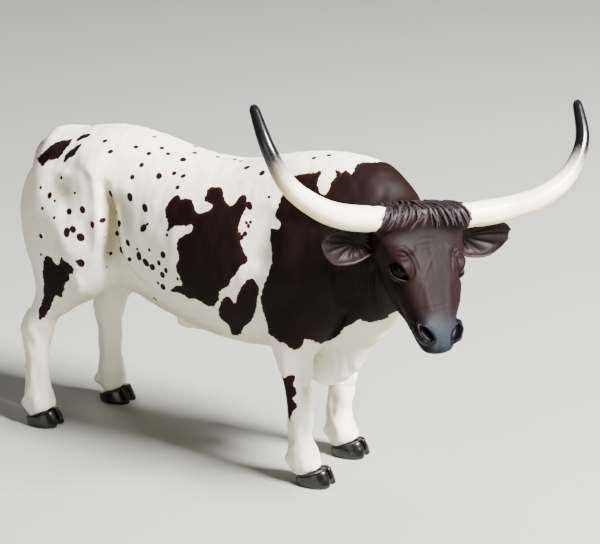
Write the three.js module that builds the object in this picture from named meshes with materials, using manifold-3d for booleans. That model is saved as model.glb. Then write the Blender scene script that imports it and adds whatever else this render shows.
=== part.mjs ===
// A hand-painted vinyl toy of a Texas longhorn, a farm figure at about one twentieth of life.
// It stands on four cloven hooves with its head turned to its right and its horns level.
// Millimetres. +Z is up, the animal faces -Y and its left is +X. The origin is on the floor,
// under the middle of the box round the whole figure.
//
// Every piece of the body is a loft: a few measured stations, a smooth curve between them, and
// an oval at each step. The pieces are then joined, and trimmed a hair apart from each other.

import * as THREE from "three";
import { LoftGeometry } from "three/addons/geometries/LoftGeometry.js";
import { mergeVertices } from "three/addons/utils/BufferGeometryUtils.js";
import Module from "manifold-3d";

const wasm = await Module();
wasm.setup();

// Driving dimensions. The spine lies in the plane x = 0, and y = 0 is the middle of the barrel.
const GAP = 0.3; // between neighbouring pieces
const FORE_TRACK = 9.6; // a forefoot's distance from the middle
const HIND_TRACK = 11; // a hind foot's distance from the middle
const FORE_LEAN = 0.8; // how far the left foreleg stands ahead of the right one, above its pastern
const HIND_STEP = 7.4; // how far the left hind foot stands ahead of the right one
const POLL = new THREE.Vector3(-8.5, -64.8, 70.3); // between the roots of the horns
const HEAD_TURN = THREE.MathUtils.degToRad(31.7); // to the animal's right
const HEAD_TILT = THREE.MathUtils.degToRad(-6.4); // left side down
const FACE_PITCH = THREE.MathUtils.degToRad(68.3); // the line of the face, below the horizon
const HORN_ROOT = 11.3; // from the middle of the poll to where a horn starts
const HORN_RADIUS = 3.3;
const WALL = 1.1; // thickness of an ear

// Axes of the head, once it is turned and tilted.
const forward = new THREE.Vector3(-Math.sin(HEAD_TURN), -Math.cos(HEAD_TURN), 0);
const left = new THREE.Vector3(
  Math.cos(HEAD_TURN) * Math.cos(HEAD_TILT),
  -Math.sin(HEAD_TURN) * Math.cos(HEAD_TILT),
  Math.sin(HEAD_TILT),
);
const upward = new THREE.Vector3().crossVectors(left, forward).negate();
const downFace = new THREE.Vector3()
  .addScaledVector(forward, Math.cos(FACE_PITCH))
  .addScaledVector(upward, -Math.sin(FACE_PITCH));
const outOfFace = new THREE.Vector3()
  .addScaledVector(forward, Math.sin(FACE_PITCH))
  .addScaledVector(upward, Math.cos(FACE_PITCH));

// A point of the head: to its left, forward and up from the poll.
const onHead = (x, f, z) =>
  POLL.clone().addScaledVector(left, x).addScaledVector(forward, f).addScaledVector(upward, z);

// A point of the head by the line of the face: to its left, down the face, and out of it.
const onFace = (x, down, out) =>
  POLL.clone().addScaledVector(left, x).addScaledVector(downFace, down).addScaledVector(outOfFace, out);

// Smooth values between the rows of a table, whose first column is the place along the piece.
function rowAt(table, at) {
  const last = table.length - 1;
  let i = 0;
  while (i < last - 1 && at > table[i + 1][0]) i++;
  const before = table[Math.max(i - 1, 0)];
  const [a, b] = [table[i], table[i + 1]];
  const after = table[Math.min(i + 2, last)];
  const span = b[0] - a[0];
  const t = THREE.MathUtils.clamp((at - a[0]) / span, 0, 1);
  return a.map((value, k) => {
    if (k === 0) return at;
    const slopeA = (b[k] - before[k]) / (b[0] - before[0]);
    const slopeB = (after[k] - a[k]) / (after[0] - a[0]);
    const t2 = t * t;
    const t3 = t2 * t;
    return (
      (2 * t3 - 3 * t2 + 1) * value +
      (t3 - 2 * t2 + t) * span * slopeA +
      (3 * t2 - 2 * t3) * b[k] +
      (t3 - t2) * span * slopeB
    );
  });
}

// An oval ring. Its crown and keel are the powers of its upper and lower halves: 2 is round,
// more is squarer, less is sharper.
function oval({ centre, across, rising, half, rise, drop = rise, crown = 2, keel = 2 }, sides) {
  const points = [];
  for (let i = 0; i < sides; i++) {
    const angle = (i / sides) * 2 * Math.PI;
    const [c, s] = [Math.cos(angle), Math.sin(angle)];
    const power = 2 / (s >= 0 ? crown : keel);
    points.push(
      centre
        .clone()
        .addScaledVector(across, Math.sign(c) * Math.abs(c) ** power * half)
        .addScaledVector(rising, Math.sign(s) * Math.abs(s) ** power * (s >= 0 ? rise : drop)),
    );
  }
  return points;
}

// A closed geometry as a solid, whichever way its faces were wound.
function solidOf(geometry) {
  const bare = new THREE.BufferGeometry();
  bare.setAttribute("position", geometry.attributes.position);
  bare.setIndex(geometry.index);
  const merged = mergeVertices(bare, 1e-4);
  const corners = merged.index.array;
  const triVerts = [];
  for (let i = 0; i < corners.length; i += 3) {
    const [a, b, c] = [corners[i], corners[i + 1], corners[i + 2]];
    if (a !== b && b !== c && c !== a) triVerts.push(a, b, c);
  }
  const build = (order) =>
    new wasm.Manifold(
      new wasm.Mesh({
        numProp: 3,
        vertProperties: new Float32Array(merged.attributes.position.array),
        triVerts: new Uint32Array(order),
      }),
    );
  const made = build(triVerts);
  return made.volume() >= 0 ? made : build(triVerts.reverse());
}

// A closed skin over sections, turned so that its walls face outward as its caps do.
function skin(sections) {
  const [first, second] = sections;
  const middleOf = (points) =>
    points.reduce((sum, p) => sum.add(p), new THREE.Vector3()).divideScalar(points.length);
  const middle = middleOf(first);
  const facing = new THREE.Vector3();
  first.forEach((p, i) => {
    const next = first[(i + 1) % first.length];
    facing.add(new THREE.Vector3().crossVectors(p.clone().sub(middle), next.clone().sub(middle)));
  });
  const backward = facing.dot(middleOf(second).sub(middle)) < 0;
  const ordered = backward ? sections.map((points) => points.slice().reverse()) : sections;
  return solidOf(new LoftGeometry(ordered, { capStart: true, capEnd: true }));
}

const loft = (rings, sides) => skin(rings.map((ring) => oval(ring, sides)));

// Rings that close a loft with a dome, from its last ring along a direction.
function dome(ring, direction, depth, steps = 4) {
  const rings = [];
  for (let i = 1; i <= steps; i++) {
    const angle = (i / (steps + 0.35)) * (Math.PI / 2);
    const shrink = Math.cos(angle);
    rings.push({
      ...ring,
      centre: ring.centre.clone().addScaledVector(direction, depth * Math.sin(angle)),
      half: ring.half * shrink,
      rise: ring.rise * shrink,
      drop: (ring.drop ?? ring.rise) * shrink,
    });
  }
  return rings;
}

const steps = (from, to, count) =>
  Array.from({ length: count + 1 }, (_, i) => from + ((to - from) * i) / count);
const X = new THREE.Vector3(1, 0, 0);
const Y = new THREE.Vector3(0, 1, 0);
const Z = new THREE.Vector3(0, 0, 1);

// A round tube along a curve, closed by a dome at its far end.
function tube(points, count, sides, sizeAt, domeDepth = 0) {
  const curve = new THREE.CatmullRomCurve3(points, false, "centripetal");
  const frames = curve.computeFrenetFrames(count, false);
  const rings = steps(0, 1, count).map((t, i) => {
    const [half, rise] = sizeAt(t);
    const [across, rising] = [frames.binormals[i], frames.normals[i]];
    return { centre: curve.getPointAt(t), across, rising, half, rise };
  });
  if (domeDepth > 0) rings.push(...dome(rings.at(-1), frames.tangents.at(-1), domeDepth, 3));
  return loft(rings, sides);
}

// An ellipsoid with its axes along three unit vectors.
function egg(centre, axes, radii, detail = 12) {
  const geometry = new THREE.SphereGeometry(1, detail, Math.round(detail * 0.75));
  const place = new THREE.Matrix4().makeBasis(
    ...axes.map((axis, i) => axis.clone().multiplyScalar(radii[i])),
  );
  return solidOf(geometry.applyMatrix4(place.setPosition(centre)));
}

// All that lies on the side of a plane that its normal points to.
function halfSpace(point, normal) {
  const size = 300;
  const turn = new THREE.Quaternion().setFromUnitVectors(Z, normal.clone().normalize());
  const block = new THREE.BoxGeometry(size, size, size).translate(0, 0, size / 2);
  return solidOf(block.applyQuaternion(turn).translate(...point.toArray()));
}

const join = (solids) => solids.reduce((sum, solid) => sum.add(solid));

// The largest closed body of a solid.
const largest = (solid) => solid.decompose().sort((a, b) => b.volume() - a.volume())[0];

// Torso: place along the body, back, belly, height of the widest line, half width there, and
// the powers of the back and of the belly.
const TORSO = [
  [-59, 71, 47, 58, 7, 2, 2],
  [-56, 75.2, 42, 57, 9.6, 2, 2],
  [-51, 78.2, 35.5, 56, 12.2, 2, 2],
  [-43, 79.2, 31, 55, 14.4, 2.1, 2],
  [-34, 79, 30, 53, 15.2, 2.1, 2.1],
  [-24, 76.9, 29.6, 51, 16.2, 2.1, 2.1],
  [-14, 74.2, 29.6, 50, 17, 2.2, 2.1],
  [-4, 74, 31, 50.5, 16.6, 2.2, 2.1],
  [5, 75.6, 33.2, 53, 15.2, 2.2, 2.1],
  [14, 77.4, 36, 57, 14.8, 2.3, 2],
  [22, 77.7, 37.5, 60, 15.4, 2.3, 2],
  [31, 76.6, 39, 60, 15.4, 2.2, 2],
  [38, 75.3, 42, 60, 14, 2.2, 2],
];
const RUMP_DOME = 5.2;
const torsoRing = ([y, top, bottom, waist, half, crown, keel], grow) => ({
  centre: new THREE.Vector3(0, y, waist),
  across: X,
  rising: Z,
  half: half + grow,
  rise: top - waist + grow,
  drop: waist - bottom + grow,
  crown,
  keel,
});

function torsoLoft() {
  const rings = steps(TORSO[0][0], TORSO.at(-1)[0], 22).map((y) => torsoRing(rowAt(TORSO, y), 0));
  return loft([...rings, ...dome(rings.at(-1), Y, RUMP_DOME, 4)], 26);
}

// Brisket: the deep fold of skin that hangs between the forelegs and runs up to the throat.
const BRISKET = [
  [-56, 54, 48, 3],
  [-53.6, 52, 44.4, 4],
  [-51, 50, 39.4, 4.8],
  [-47.5, 48, 32, 5.2],
  [-44, 46, 26, 5.4],
  [-40, 44, 22.4, 5.4],
  [-35.5, 42, 21.4, 5.1],
  [-31.5, 41, 23.2, 4.4],
  [-28.5, 40, 27, 3.4],
];
function brisket() {
  const rings = steps(BRISKET[0][0], BRISKET.at(-1)[0], 10).map((y) => {
    const [, top, bottom, half] = rowAt(BRISKET, y);
    const middle = (top + bottom) / 2;
    return {
      centre: new THREE.Vector3(0, y, middle),
      across: X,
      rising: Z,
      half,
      rise: top - middle,
      drop: middle - bottom,
      keel: 2.3,
    };
  });
  return loft(rings, 14);
}

// Neck: short and deep, from inside the shoulders to inside the back of the head.
const NECK = [
  { at: [0, -42, 56], turn: 0, half: 13.6, rise: 22, drop: 21 },
  { at: [-0.6, -49, 56.5], turn: 0.12, half: 12.2, rise: 21, drop: 19 },
  { at: [-2.6, -54.5, 58], turn: 0.35, half: 10.2, rise: 17, drop: 12.6 },
  { at: [-4.8, -58.5, 60.6], turn: 0.62, half: 8.6, rise: 11.6, drop: 11.4 },
  { at: [-7, -62, 62.5], turn: 0.9, half: 7.4, rise: 8, drop: 10.5 },
];
const neckTable = NECK.map(({ at, turn, half, rise, drop }, i) => [i, ...at, turn, half, rise, drop]);
function neckLoft() {
  const rings = steps(0, NECK.length - 1, 12).map((at) => {
    const [, x, y, z, turn, half, rise, drop] = rowAt(neckTable, at);
    const across = X.clone().lerp(left, turn).normalize();
    const along = new THREE.Vector3(0, -1, 0).lerp(forward, turn).normalize();
    const rising = new THREE.Vector3().crossVectors(along, across).negate();
    return { centre: new THREE.Vector3(x, y, z), across, rising, half, rise, drop, crown: 2, keel: 1.9 };
  });
  return loft(rings, 22);
}

// Head: place down the face, front line, back line, widest line, half width, how far the middle
// lies to the left, and the powers of the front and of the back.
const HEAD = [
  [-3.2, 0.4, -6.5, -3, 8.6, 0, 2.2, 2.2],
  [-1, 1, -9.5, -3.6, 10.6, 0, 2.6, 2.2],
  [3, 0.5, -12.5, -4, 10.2, 0.1, 3, 2.2],
  [7, 1, -14.4, -4, 9.6, 0.5, 3.4, 2.1],
  [10.6, 1.7, -15.4, -4, 9.3, 0.9, 3.4, 2],
  [14, 2.1, -15.2, -3.6, 8.6, 1, 3.3, 2],
  [18, 2.5, -12, -3, 7.5, 0.9, 3.2, 2],
  [22, 3, -7.6, -2.2, 6.4, 0.8, 3, 2.1],
  [25, 3.4, -5, -1.2, 6.1, 0.8, 2.7, 2.3],
  [27.6, 3.4, -3.3, -0.5, 5.7, 0.8, 2.6, 2.4],
  [29.4, 2.6, -2.4, -0.1, 4.7, 0.8, 2.5, 2.4],
];
const MUZZLE_DOME = 1.5;
function headLoft(grow = 0) {
  const ringAt = (down) => {
    const [, front, back, middle, half, shift, crown, keel] = rowAt(HEAD, down);
    return {
      centre: onFace(shift, down, middle),
      across: left,
      rising: outOfFace,
      half: half + grow,
      rise: front - middle + grow,
      drop: middle - back + grow,
      crown,
      keel,
    };
  };
  const rings = steps(HEAD[0][0], HEAD.at(-1)[0], 16).map(ringAt);
  const top = dome(rings[0], downFace, -1.6 - grow, 3).reverse();
  const end = dome(rings.at(-1), downFace, MUZZLE_DOME + grow, 3);
  return loft([...top, ...rings, ...end], 24);
}

// Eyes sit at the corners of the forehead, each in a socket under a heavy upper lid.
const EYE = { side: 7.2, middle: 0.8, down: 12.3, out: -1.3, radius: 2.1 };
const eyeAxes = (side) => {
  const outward = left.clone().multiplyScalar(side * 0.8).addScaledVector(outOfFace, 0.6).normalize();
  const along = downFace.clone();
  return [outward, along, new THREE.Vector3().crossVectors(outward, along)];
};
const eyeAt = (side) => onFace(EYE.middle + side * EYE.side, EYE.down, EYE.out);
const eyeball = (side, grow = 0) =>
  egg(eyeAt(side), eyeAxes(side), [EYE.radius + grow, EYE.radius + grow, EYE.radius * 1.12 + grow], 12);

function eyelids(side) {
  const [outward, along, across] = eyeAxes(side);
  const lid = (upper) => {
    const reach = EYE.radius * 1.06;
    const points = steps(-1.15, 1.15, 6).map((angle) =>
      eyeAt(side)
        .addScaledVector(across, reach * 1.15 * Math.sin(angle))
        .addScaledVector(along, (upper ? -1 : 1) * reach * Math.cos(angle) * (upper ? 0.86 : 0.9))
        .addScaledVector(outward, upper ? 0.95 : 0.5),
    );
    const thick = upper ? 0.62 : 0.42;
    return tube(points, 6, 6, (t) => [thick * (0.5 + Math.sin(Math.PI * t) * 0.5), thick * 0.9], 0.3);
  };
  const brow = onFace(EYE.middle + side * 7.9, EYE.down - 3.1, -1.7);
  return [lid(true), lid(false), egg(brow, eyeAxes(side), [1.7, 2.9, 2.9], 9)];
}

// Nostrils open to the side and front of the muzzle, each with a raised rim.
const NOSTRIL = { side: 3.9, middle: 0.5, down: 26.2, out: 2.7 };
function nostrilAxes(side) {
  const opening = left.clone().multiplyScalar(side * 0.62).addScaledVector(outOfFace, 0.78).normalize();
  const long = downFace.clone().addScaledVector(left, -side * 0.35).normalize();
  return [opening, long, new THREE.Vector3().crossVectors(opening, long).normalize()];
}
const nostrilAt = (side) => onFace(NOSTRIL.middle + side * NOSTRIL.side, NOSTRIL.down, NOSTRIL.out);
const nostrilHole = (side) => egg(nostrilAt(side), nostrilAxes(side), [1.7, 1.75, 0.95], 10);
function nostrilRim(side) {
  const [, long, wide] = nostrilAxes(side);
  return egg(nostrilAt(side), nostrilAxes(side), [1.0, 2.6, 1.75], 10).subtract(
    egg(nostrilAt(side), [nostrilAxes(side)[0], long, wide], [3, 1.75, 0.95], 10),
  );
}

// The line of the mouth, a shallow groove round the front of the muzzle.
function mouthLine() {
  const alongMouth = new THREE.Vector3().subVectors(onFace(0, 30.7, -1.2), onFace(0, 21.2, -4.6)).normalize();
  const acrossMouth = new THREE.Vector3().crossVectors(alongMouth, left).normalize();
  const plate = egg(onFace(0.4, 26.7, -2.6), [left, alongMouth, acrossMouth], [9, 6, 0.42], 14);
  return plate.subtract(headLoft(-0.75));
}

// Poll: a cap of hair between the horns, moulded as tapered locks that part in the middle.
const LOCKS = 13;
function pollLocks(grow = 0) {
  const locks = [];
  for (let i = 0; i < LOCKS; i++) {
    const share = (i / (LOCKS - 1)) * 2 - 1;
    const top = share * 10;
    const fall = Math.sign(share) * 1.7 + share * 0.6;
    const low = i % 2 ? -3.6 : -2.4;
    const points = [
      onHead(top * 0.94, -5.4, 0.6),
      onHead(top, -3.6, 3.3 - Math.abs(share) * 1.1),
      onHead(top + fall * 0.3, -0.6, 3.4 - Math.abs(share) * 1.2),
      onHead(top + fall * 0.7, 1, 0.6),
      onHead(top + fall, 1.7, low),
    ];
    locks.push(tube(points, 6, 5, (t) => [0.95 * (1 - t * 0.72) + grow, 0.62 * (1 - t * 0.6) + grow]));
  }
  return locks;
}

// Horns: out level from the poll, then forward, up, and back at the tips.
const HORN_PATH = [
  [HORN_ROOT - 2.2, -0.2, -0.2],
  [HORN_ROOT + 1.3, 0, 0],
  [21.1, 0.5, 1],
  [29.4, 2.6, 3.9],
  [36.7, 2.4, 8.8],
  [41.4, 0.2, 16.2],
  [42.8, -5.4, 24.1],
];
const HORN_TAPER = [
  [0, 1],
  [0.3, 0.94],
  [0.55, 0.76],
  [0.75, 0.58],
  [0.9, 0.38],
  [1, 0.2],
];
function horn(side, grow = 0) {
  const points = HORN_PATH.map(([x, f, z]) => onHead(side * x, f, z));
  const whole = tube(points, 20, 12, (t) => {
    const radius = HORN_RADIUS * rowAt(HORN_TAPER, t)[1] + grow;
    return [radius, radius];
  }, 0.8);
  const root = onHead(side * (HORN_ROOT - grow), 0, 0);
  return whole.intersect(halfSpace(root, left.clone().multiplyScalar(side)));
}

// Ears: a cup that opens forward, with ribs of hair inside and a rolled upper rim.
const EAR = [
  [0, 2.2, 2.2],
  [0.2, 3.4, 2.8],
  [0.42, 4.4, 3],
  [0.68, 4.7, 2.6],
  [0.87, 3.5, 1.8],
  [1, 1.3, 0.9],
];
const EAR_ROOT = [8.2, -2.4, -5.2];
const EAR_TIP = [25, -0.6, -5.4];
const EAR_ARC = 8;
function ear(side) {
  const root = onHead(side * EAR_ROOT[0], EAR_ROOT[1], EAR_ROOT[2]);
  const tip = onHead(side * EAR_TIP[0], EAR_TIP[1], EAR_TIP[2]);
  const along = tip.clone().sub(root).normalize();
  const opening = forward.clone().addScaledVector(upward, -0.25).addScaledVector(left, side * 0.2);
  opening.addScaledVector(along, -opening.dot(along)).normalize();
  const rising = new THREE.Vector3().crossVectors(along, opening).multiplyScalar(side).normalize();
  if (rising.dot(upward) < 0) rising.negate();
  const sections = steps(0, 1, 8).map((t) => {
    const [, half, depth] = rowAt(EAR, t);
    const droop = -1.4 * Math.sin(Math.PI * t);
    const centre = root.clone().lerp(tip, t).addScaledVector(rising, droop);
    const wall = Math.min(WALL, depth * 0.6);
    const at = (angle, high, deep) =>
      centre
        .clone()
        .addScaledVector(rising, high * Math.sin(angle))
        .addScaledVector(opening, -deep * Math.cos(angle));
    const outer = steps(-1.9, 1.9, EAR_ARC).map((angle) => at(angle, half, depth));
    const inner = steps(1.75, -1.75, EAR_ARC).map((angle, j) => {
      const rib = j % 2 ? 0.22 : -0.1;
      return at(angle, half - wall - rib * 0.5, depth - wall - rib);
    });
    return [...outer, ...inner];
  });
  return skin(sections);
}

// Legs: height, place along the body, distance from the middle, half length and half width.
const FORE_LEG = [
  [1.8, -36.2, 9.6, 3.6, 3.2],
  [4.2, -35.8, 9.6, 4.2, 3.7],
  [6.4, -35.2, 9.6, 3.9, 3.7],
  [9.4, -34.5, 9.6, 3.1, 3],
  [13, -34.3, 9.6, 3, 2.9],
  [17, -34.3, 9.7, 3.4, 3.4],
  [20.4, -34.1, 9.8, 3, 3.2],
  [25, -33.5, 9.9, 3.4, 3.6],
  [31, -32.6, 10, 4.5, 4.3],
  [37, -33, 9.9, 7.2, 5],
  [44, -34.6, 9.6, 9.2, 5.4],
  [52, -36.6, 9, 9.8, 5.6],
  [60, -38.2, 8.2, 8.6, 5.4],
];
const HIND_LEG = [
  [1.8, 39.8, 11, 3.6, 3.2],
  [4.2, 40, 11, 4.1, 3.7],
  [6.2, 40.7, 11, 4, 3.7],
  [9.4, 41.2, 11, 3.4, 3.1],
  [15, 41, 11, 3.1, 3],
  [21, 41, 11, 3.4, 3.2],
  [25.5, 40.6, 11, 4.3, 3.6],
  [29, 38.8, 10.9, 4.9, 3.7],
  [33, 34.9, 10.8, 6.2, 4.1],
  [37, 31, 10.6, 9.3, 5],
  [42, 28.7, 10.4, 12.6, 6],
  [49, 29.6, 10.1, 14, 6.7],
  [57, 30.6, 9.5, 14, 7.2],
  [64, 30.8, 8.6, 12.8, 6.8],
];
// The left hind leg is swung forward under the body, and the sway fades out at the hip.
const swungForward = (table, reach) => {
  const hip = table.at(-1)[0];
  const share = (z) => THREE.MathUtils.clamp((hip - z) / (hip - 22), 0, 1);
  return table.map(([z, y, ...rest]) => [z, y - reach * share(z), ...rest]);
};
const HIND_LEG_LEFT = swungForward(HIND_LEG, HIND_STEP);
// The left foreleg leans a little forward above its pastern.
const FORE_LEG_LEFT = FORE_LEG.map(([z, y, ...rest]) => [z, z > 15 ? y - FORE_LEAN : y, ...rest]);

function legLoft(table, side) {
  const rings = steps(table[0][0], table.at(-1)[0], 18).map((z) => {
    const [, y, x, long, wide] = rowAt(table, z);
    return { centre: new THREE.Vector3(side * x, y, z), across: X, rising: Y, half: wide, rise: long };
  });
  return loft([...rings, ...dome(rings.at(-1), Z, 5, 3)], 14);
}

// What belongs to a leg: all that lies outside its inner face and within its outline from the
// side, up to an arch over the shoulder or the thigh.
const ARCH = 6;
function legRegion(table, side, grow) {
  const outer = 40;
  const rings = steps(table[0][0] - 2, table.at(-1)[0], 9).map((z) => {
    const [, y, x, long, wide] = rowAt(table, Math.max(z, table[0][0]));
    const inner = x - wide - 0.15 - grow;
    return {
      centre: new THREE.Vector3((side * (inner + outer)) / 2, y, z),
      across: X,
      rising: Y,
      half: (outer - inner) / 2,
      rise: long + 0.6 + grow,
      crown: 9,
      keel: 9,
    };
  });
  return loft([...rings, ...dome(rings.at(-1), Z, ARCH + grow, 4)], 16);
}

// Two dewclaws at the back of each fetlock.
function dewclaws(x, y) {
  return [-1.9, 1.9].map((side) =>
    egg(new THREE.Vector3(x + side, y + 3.2, 5.6), [X, Y, Z], [1.1, 1.2, 1.5], 8),
  );
}

// Hooves: a sloping wall round two claws, parted by a cleft in front.
const HOOF = { toe: 5.2, heel: 3.8, half: 3.8, front: 4.9, back: 1.9 };
const coronet = (y, lower) =>
  halfSpace(
    new THREE.Vector3(0, y, (HOOF.front + HOOF.back) / 2 - lower),
    new THREE.Vector3(0, (HOOF.front - HOOF.back) / (HOOF.toe + HOOF.heel), 1),
  );
function hoof(x, y) {
  const rings = [
    [0, 0, 0.92],
    [0.5, 0.06, 1],
    [2.2, 0.5, 0.97],
    [4, 1.1, 0.9],
    [6, 1.8, 0.82],
  ].map(([z, back, scale]) => ({
    centre: new THREE.Vector3(x, y + back, z),
    across: X,
    rising: Y,
    half: HOOF.half * scale,
    rise: HOOF.heel * scale,
    drop: HOOF.toe * scale,
    keel: 2.3,
    crown: 2.4,
  }));
  const cleft = egg(new THREE.Vector3(x, y - HOOF.toe - 0.6, 2.5), [X, Y, Z], [0.5, 5.2, 9], 10);
  const notch = egg(new THREE.Vector3(x, y - HOOF.toe - 1, 0), [X, Y, Z], [1.3, 3, 2.6], 10);
  return loft(rings, 18).subtract(coronet(y, GAP)).subtract(cleft).subtract(notch);
}

// Tail: from the top of the rump down behind the legs, with a switch of moulded hair.
const TAIL_PATH = [
  [0, 38, 71.4],
  [0, 42.2, 70.4],
  [0, 45, 66],
  [0, 46.4, 58],
  [0.3, 46.4, 46],
  [0.8, 46.6, 34],
  [1, 47, 22],
  [0.6, 47.4, 12.5],
];
const TAIL_SIZE = [
  [0, 2.6],
  [0.12, 2.3],
  [0.3, 1.7],
  [0.6, 1.35],
  [0.7, 1.8],
  [0.84, 2.5],
  [0.95, 1.7],
  [1, 0.9],
];
function tailLoft(grow) {
  const points = TAIL_PATH.map((p) => new THREE.Vector3(...p));
  return tube(points, 18, 10, (t) => {
    const radius = rowAt(TAIL_SIZE, t)[1] + grow;
    return [radius, radius];
  }, 0.8);
}

// Assembly of the solids.
const feet = [
  { name: "foreleg_right", table: FORE_LEG, x: -FORE_TRACK, y: -38, side: -1 },
  { name: "foreleg_left", table: FORE_LEG_LEFT, x: FORE_TRACK, y: -37.2, side: 1 },
  { name: "hindleg_right", table: HIND_LEG, x: -HIND_TRACK, y: 39.6, side: -1 },
  { name: "hindleg_left", table: HIND_LEG_LEFT, x: HIND_TRACK, y: 39.6 - HIND_STEP, side: 1 },
];
const nodes = {};

// The head, whole, and what stands on it.
const headAround = headLoft(GAP);
const sockets = join([eyeball(-1, GAP), eyeball(1, GAP)]);
const hornsAround = join([horn(-1, GAP), horn(1, GAP)]);
const onTheHead = [...pollLocks(), ...[-1, 1].flatMap(eyelids), ...[-1, 1].map(nostrilRim)];
const headCuts = [sockets, ...[-1, 1].map(nostrilHole), mouthLine(), hornsAround];
nodes.head = largest(headCuts.reduce((rest, cut) => rest.subtract(cut), join([headLoft(), ...onTheHead])));
for (const [name, side] of [["right", -1], ["left", 1]]) {
  nodes["eye_" + name] = eyeball(side);
  nodes["horn_" + name] = largest(horn(side));
  nodes["ear_" + name] = largest(ear(side).subtract(headAround).subtract(hornsAround));
}

// The body, whole, then parted into neck, torso, legs and tail.
const SHOULDER_CUT = new THREE.Vector3(0, -52.5, 60);
const neckAhead = new THREE.Vector3(-0.1, -1, -0.06).normalize();
const TAIL_CUT = new THREE.Vector3(0, 42.8, 70);
const tailDirection = new THREE.Vector3(0, 1, -0.35).normalize();
const sheath = egg(new THREE.Vector3(0, 1, 31.2), [X, Y, Z], [2.4, 5.5, 3.2], 10);
const legs = feet.map(({ table, side }) => legLoft(table, side));
const claws = feet.flatMap(({ table, x }) => dewclaws(x, rowAt(table, 6.2)[1]));
const body = join([torsoLoft(), brisket(), neckLoft(), sheath, ...legs, ...claws]);
const half = (grow, direction) =>
  halfSpace(SHOULDER_CUT.clone().addScaledVector(direction, grow), direction);
const neckCuts = [headAround, ...pollLocks(GAP), hornsAround, ear(-1), ear(1)];
nodes.neck = largest(
  neckCuts.reduce((rest, cut) => rest.subtract(cut), body.intersect(half(GAP / 2, neckAhead))),
);
const rearOfCut = body.intersect(half(GAP / 2, neckAhead.clone().negate()));
const tailAround = tailLoft(GAP).intersect(
  halfSpace(TAIL_CUT.clone().addScaledVector(tailDirection, -GAP), tailDirection),
);
const legsAround = feet.map(({ table, side }) => legRegion(table, side, GAP));
nodes.torso = largest([...legsAround, tailAround].reduce((rest, cut) => rest.subtract(cut), rearOfCut));
nodes.tail = largest(tailLoft(0).intersect(halfSpace(TAIL_CUT, tailDirection)));
for (const { name, table, x, y, side } of feet) {
  const leg = rearOfCut.intersect(legRegion(table, side, 0)).intersect(coronet(y, 0)).subtract(tailAround);
  nodes[name] = largest(leg);
  nodes[name.replace("leg", "hoof")] = largest(hoof(x, y));
}

// Colours of the paint.
const paints = {
  coat: { color: 0xe9e3d6, roughness: 0.5, metalness: 0 },
  face: { color: 0x3a2a2a, roughness: 0.45, metalness: 0 },
  horn: { color: 0xf4eddc, roughness: 0.35, metalness: 0 },
  hoof: { color: 0x1b1716, roughness: 0.35, metalness: 0 },
  eye: { color: 0x080706, roughness: 0.1, metalness: 0 },
};
const paintOf = (name) => {
  if (name.startsWith("eye")) return paints.eye;
  if (name.startsWith("horn")) return paints.horn;
  if (name.includes("hoof")) return paints.hoof;
  return /^(head|ear|neck)/.test(name) ? paints.face : paints.coat;
};

// A solid as a mesh of the scene.
function meshOf(name, solid) {
  const { numProp, numVert, vertProperties, triVerts } = solid.getMesh();
  const positions = new Float32Array(numVert * 3);
  for (let i = 0; i < numVert; i++) {
    positions.set(vertProperties.subarray(i * numProp, i * numProp + 3), i * 3);
  }
  const geometry = new THREE.BufferGeometry();
  geometry.setAttribute("position", new THREE.BufferAttribute(positions, 3));
  geometry.setIndex(new THREE.BufferAttribute(new Uint32Array(triVerts), 1));
  geometry.computeVertexNormals();
  const mesh = new THREE.Mesh(geometry, new THREE.MeshStandardMaterial(paintOf(name)));
  mesh.name = name;
  return mesh;
}

const figure = new THREE.Group();
for (const [name, solid] of Object.entries(nodes)) figure.add(meshOf(name, solid));
const box = new THREE.Box3().setFromObject(figure);
const middle = box.getCenter(new THREE.Vector3());
figure.position.set(-middle.x, -middle.y, 0);

export default figure;
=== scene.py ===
# %% [markdown]
# # A painted vinyl longhorn
#
# This lesson dresses a small farm toy: a longhorn bull, about 14 cm long, moulded in soft vinyl
# and painted by hand. The solids come from a CAD model and stay where they are. They have the
# right sizes, but they are faceted and parted by thin cuts, and the real toy is one smooth
# moulding. So the work here is to grow one skin over them, to model the folds, the hair, the
# horns and the hooves on it, and to paint it.

# %% Load the frame
import math

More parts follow.
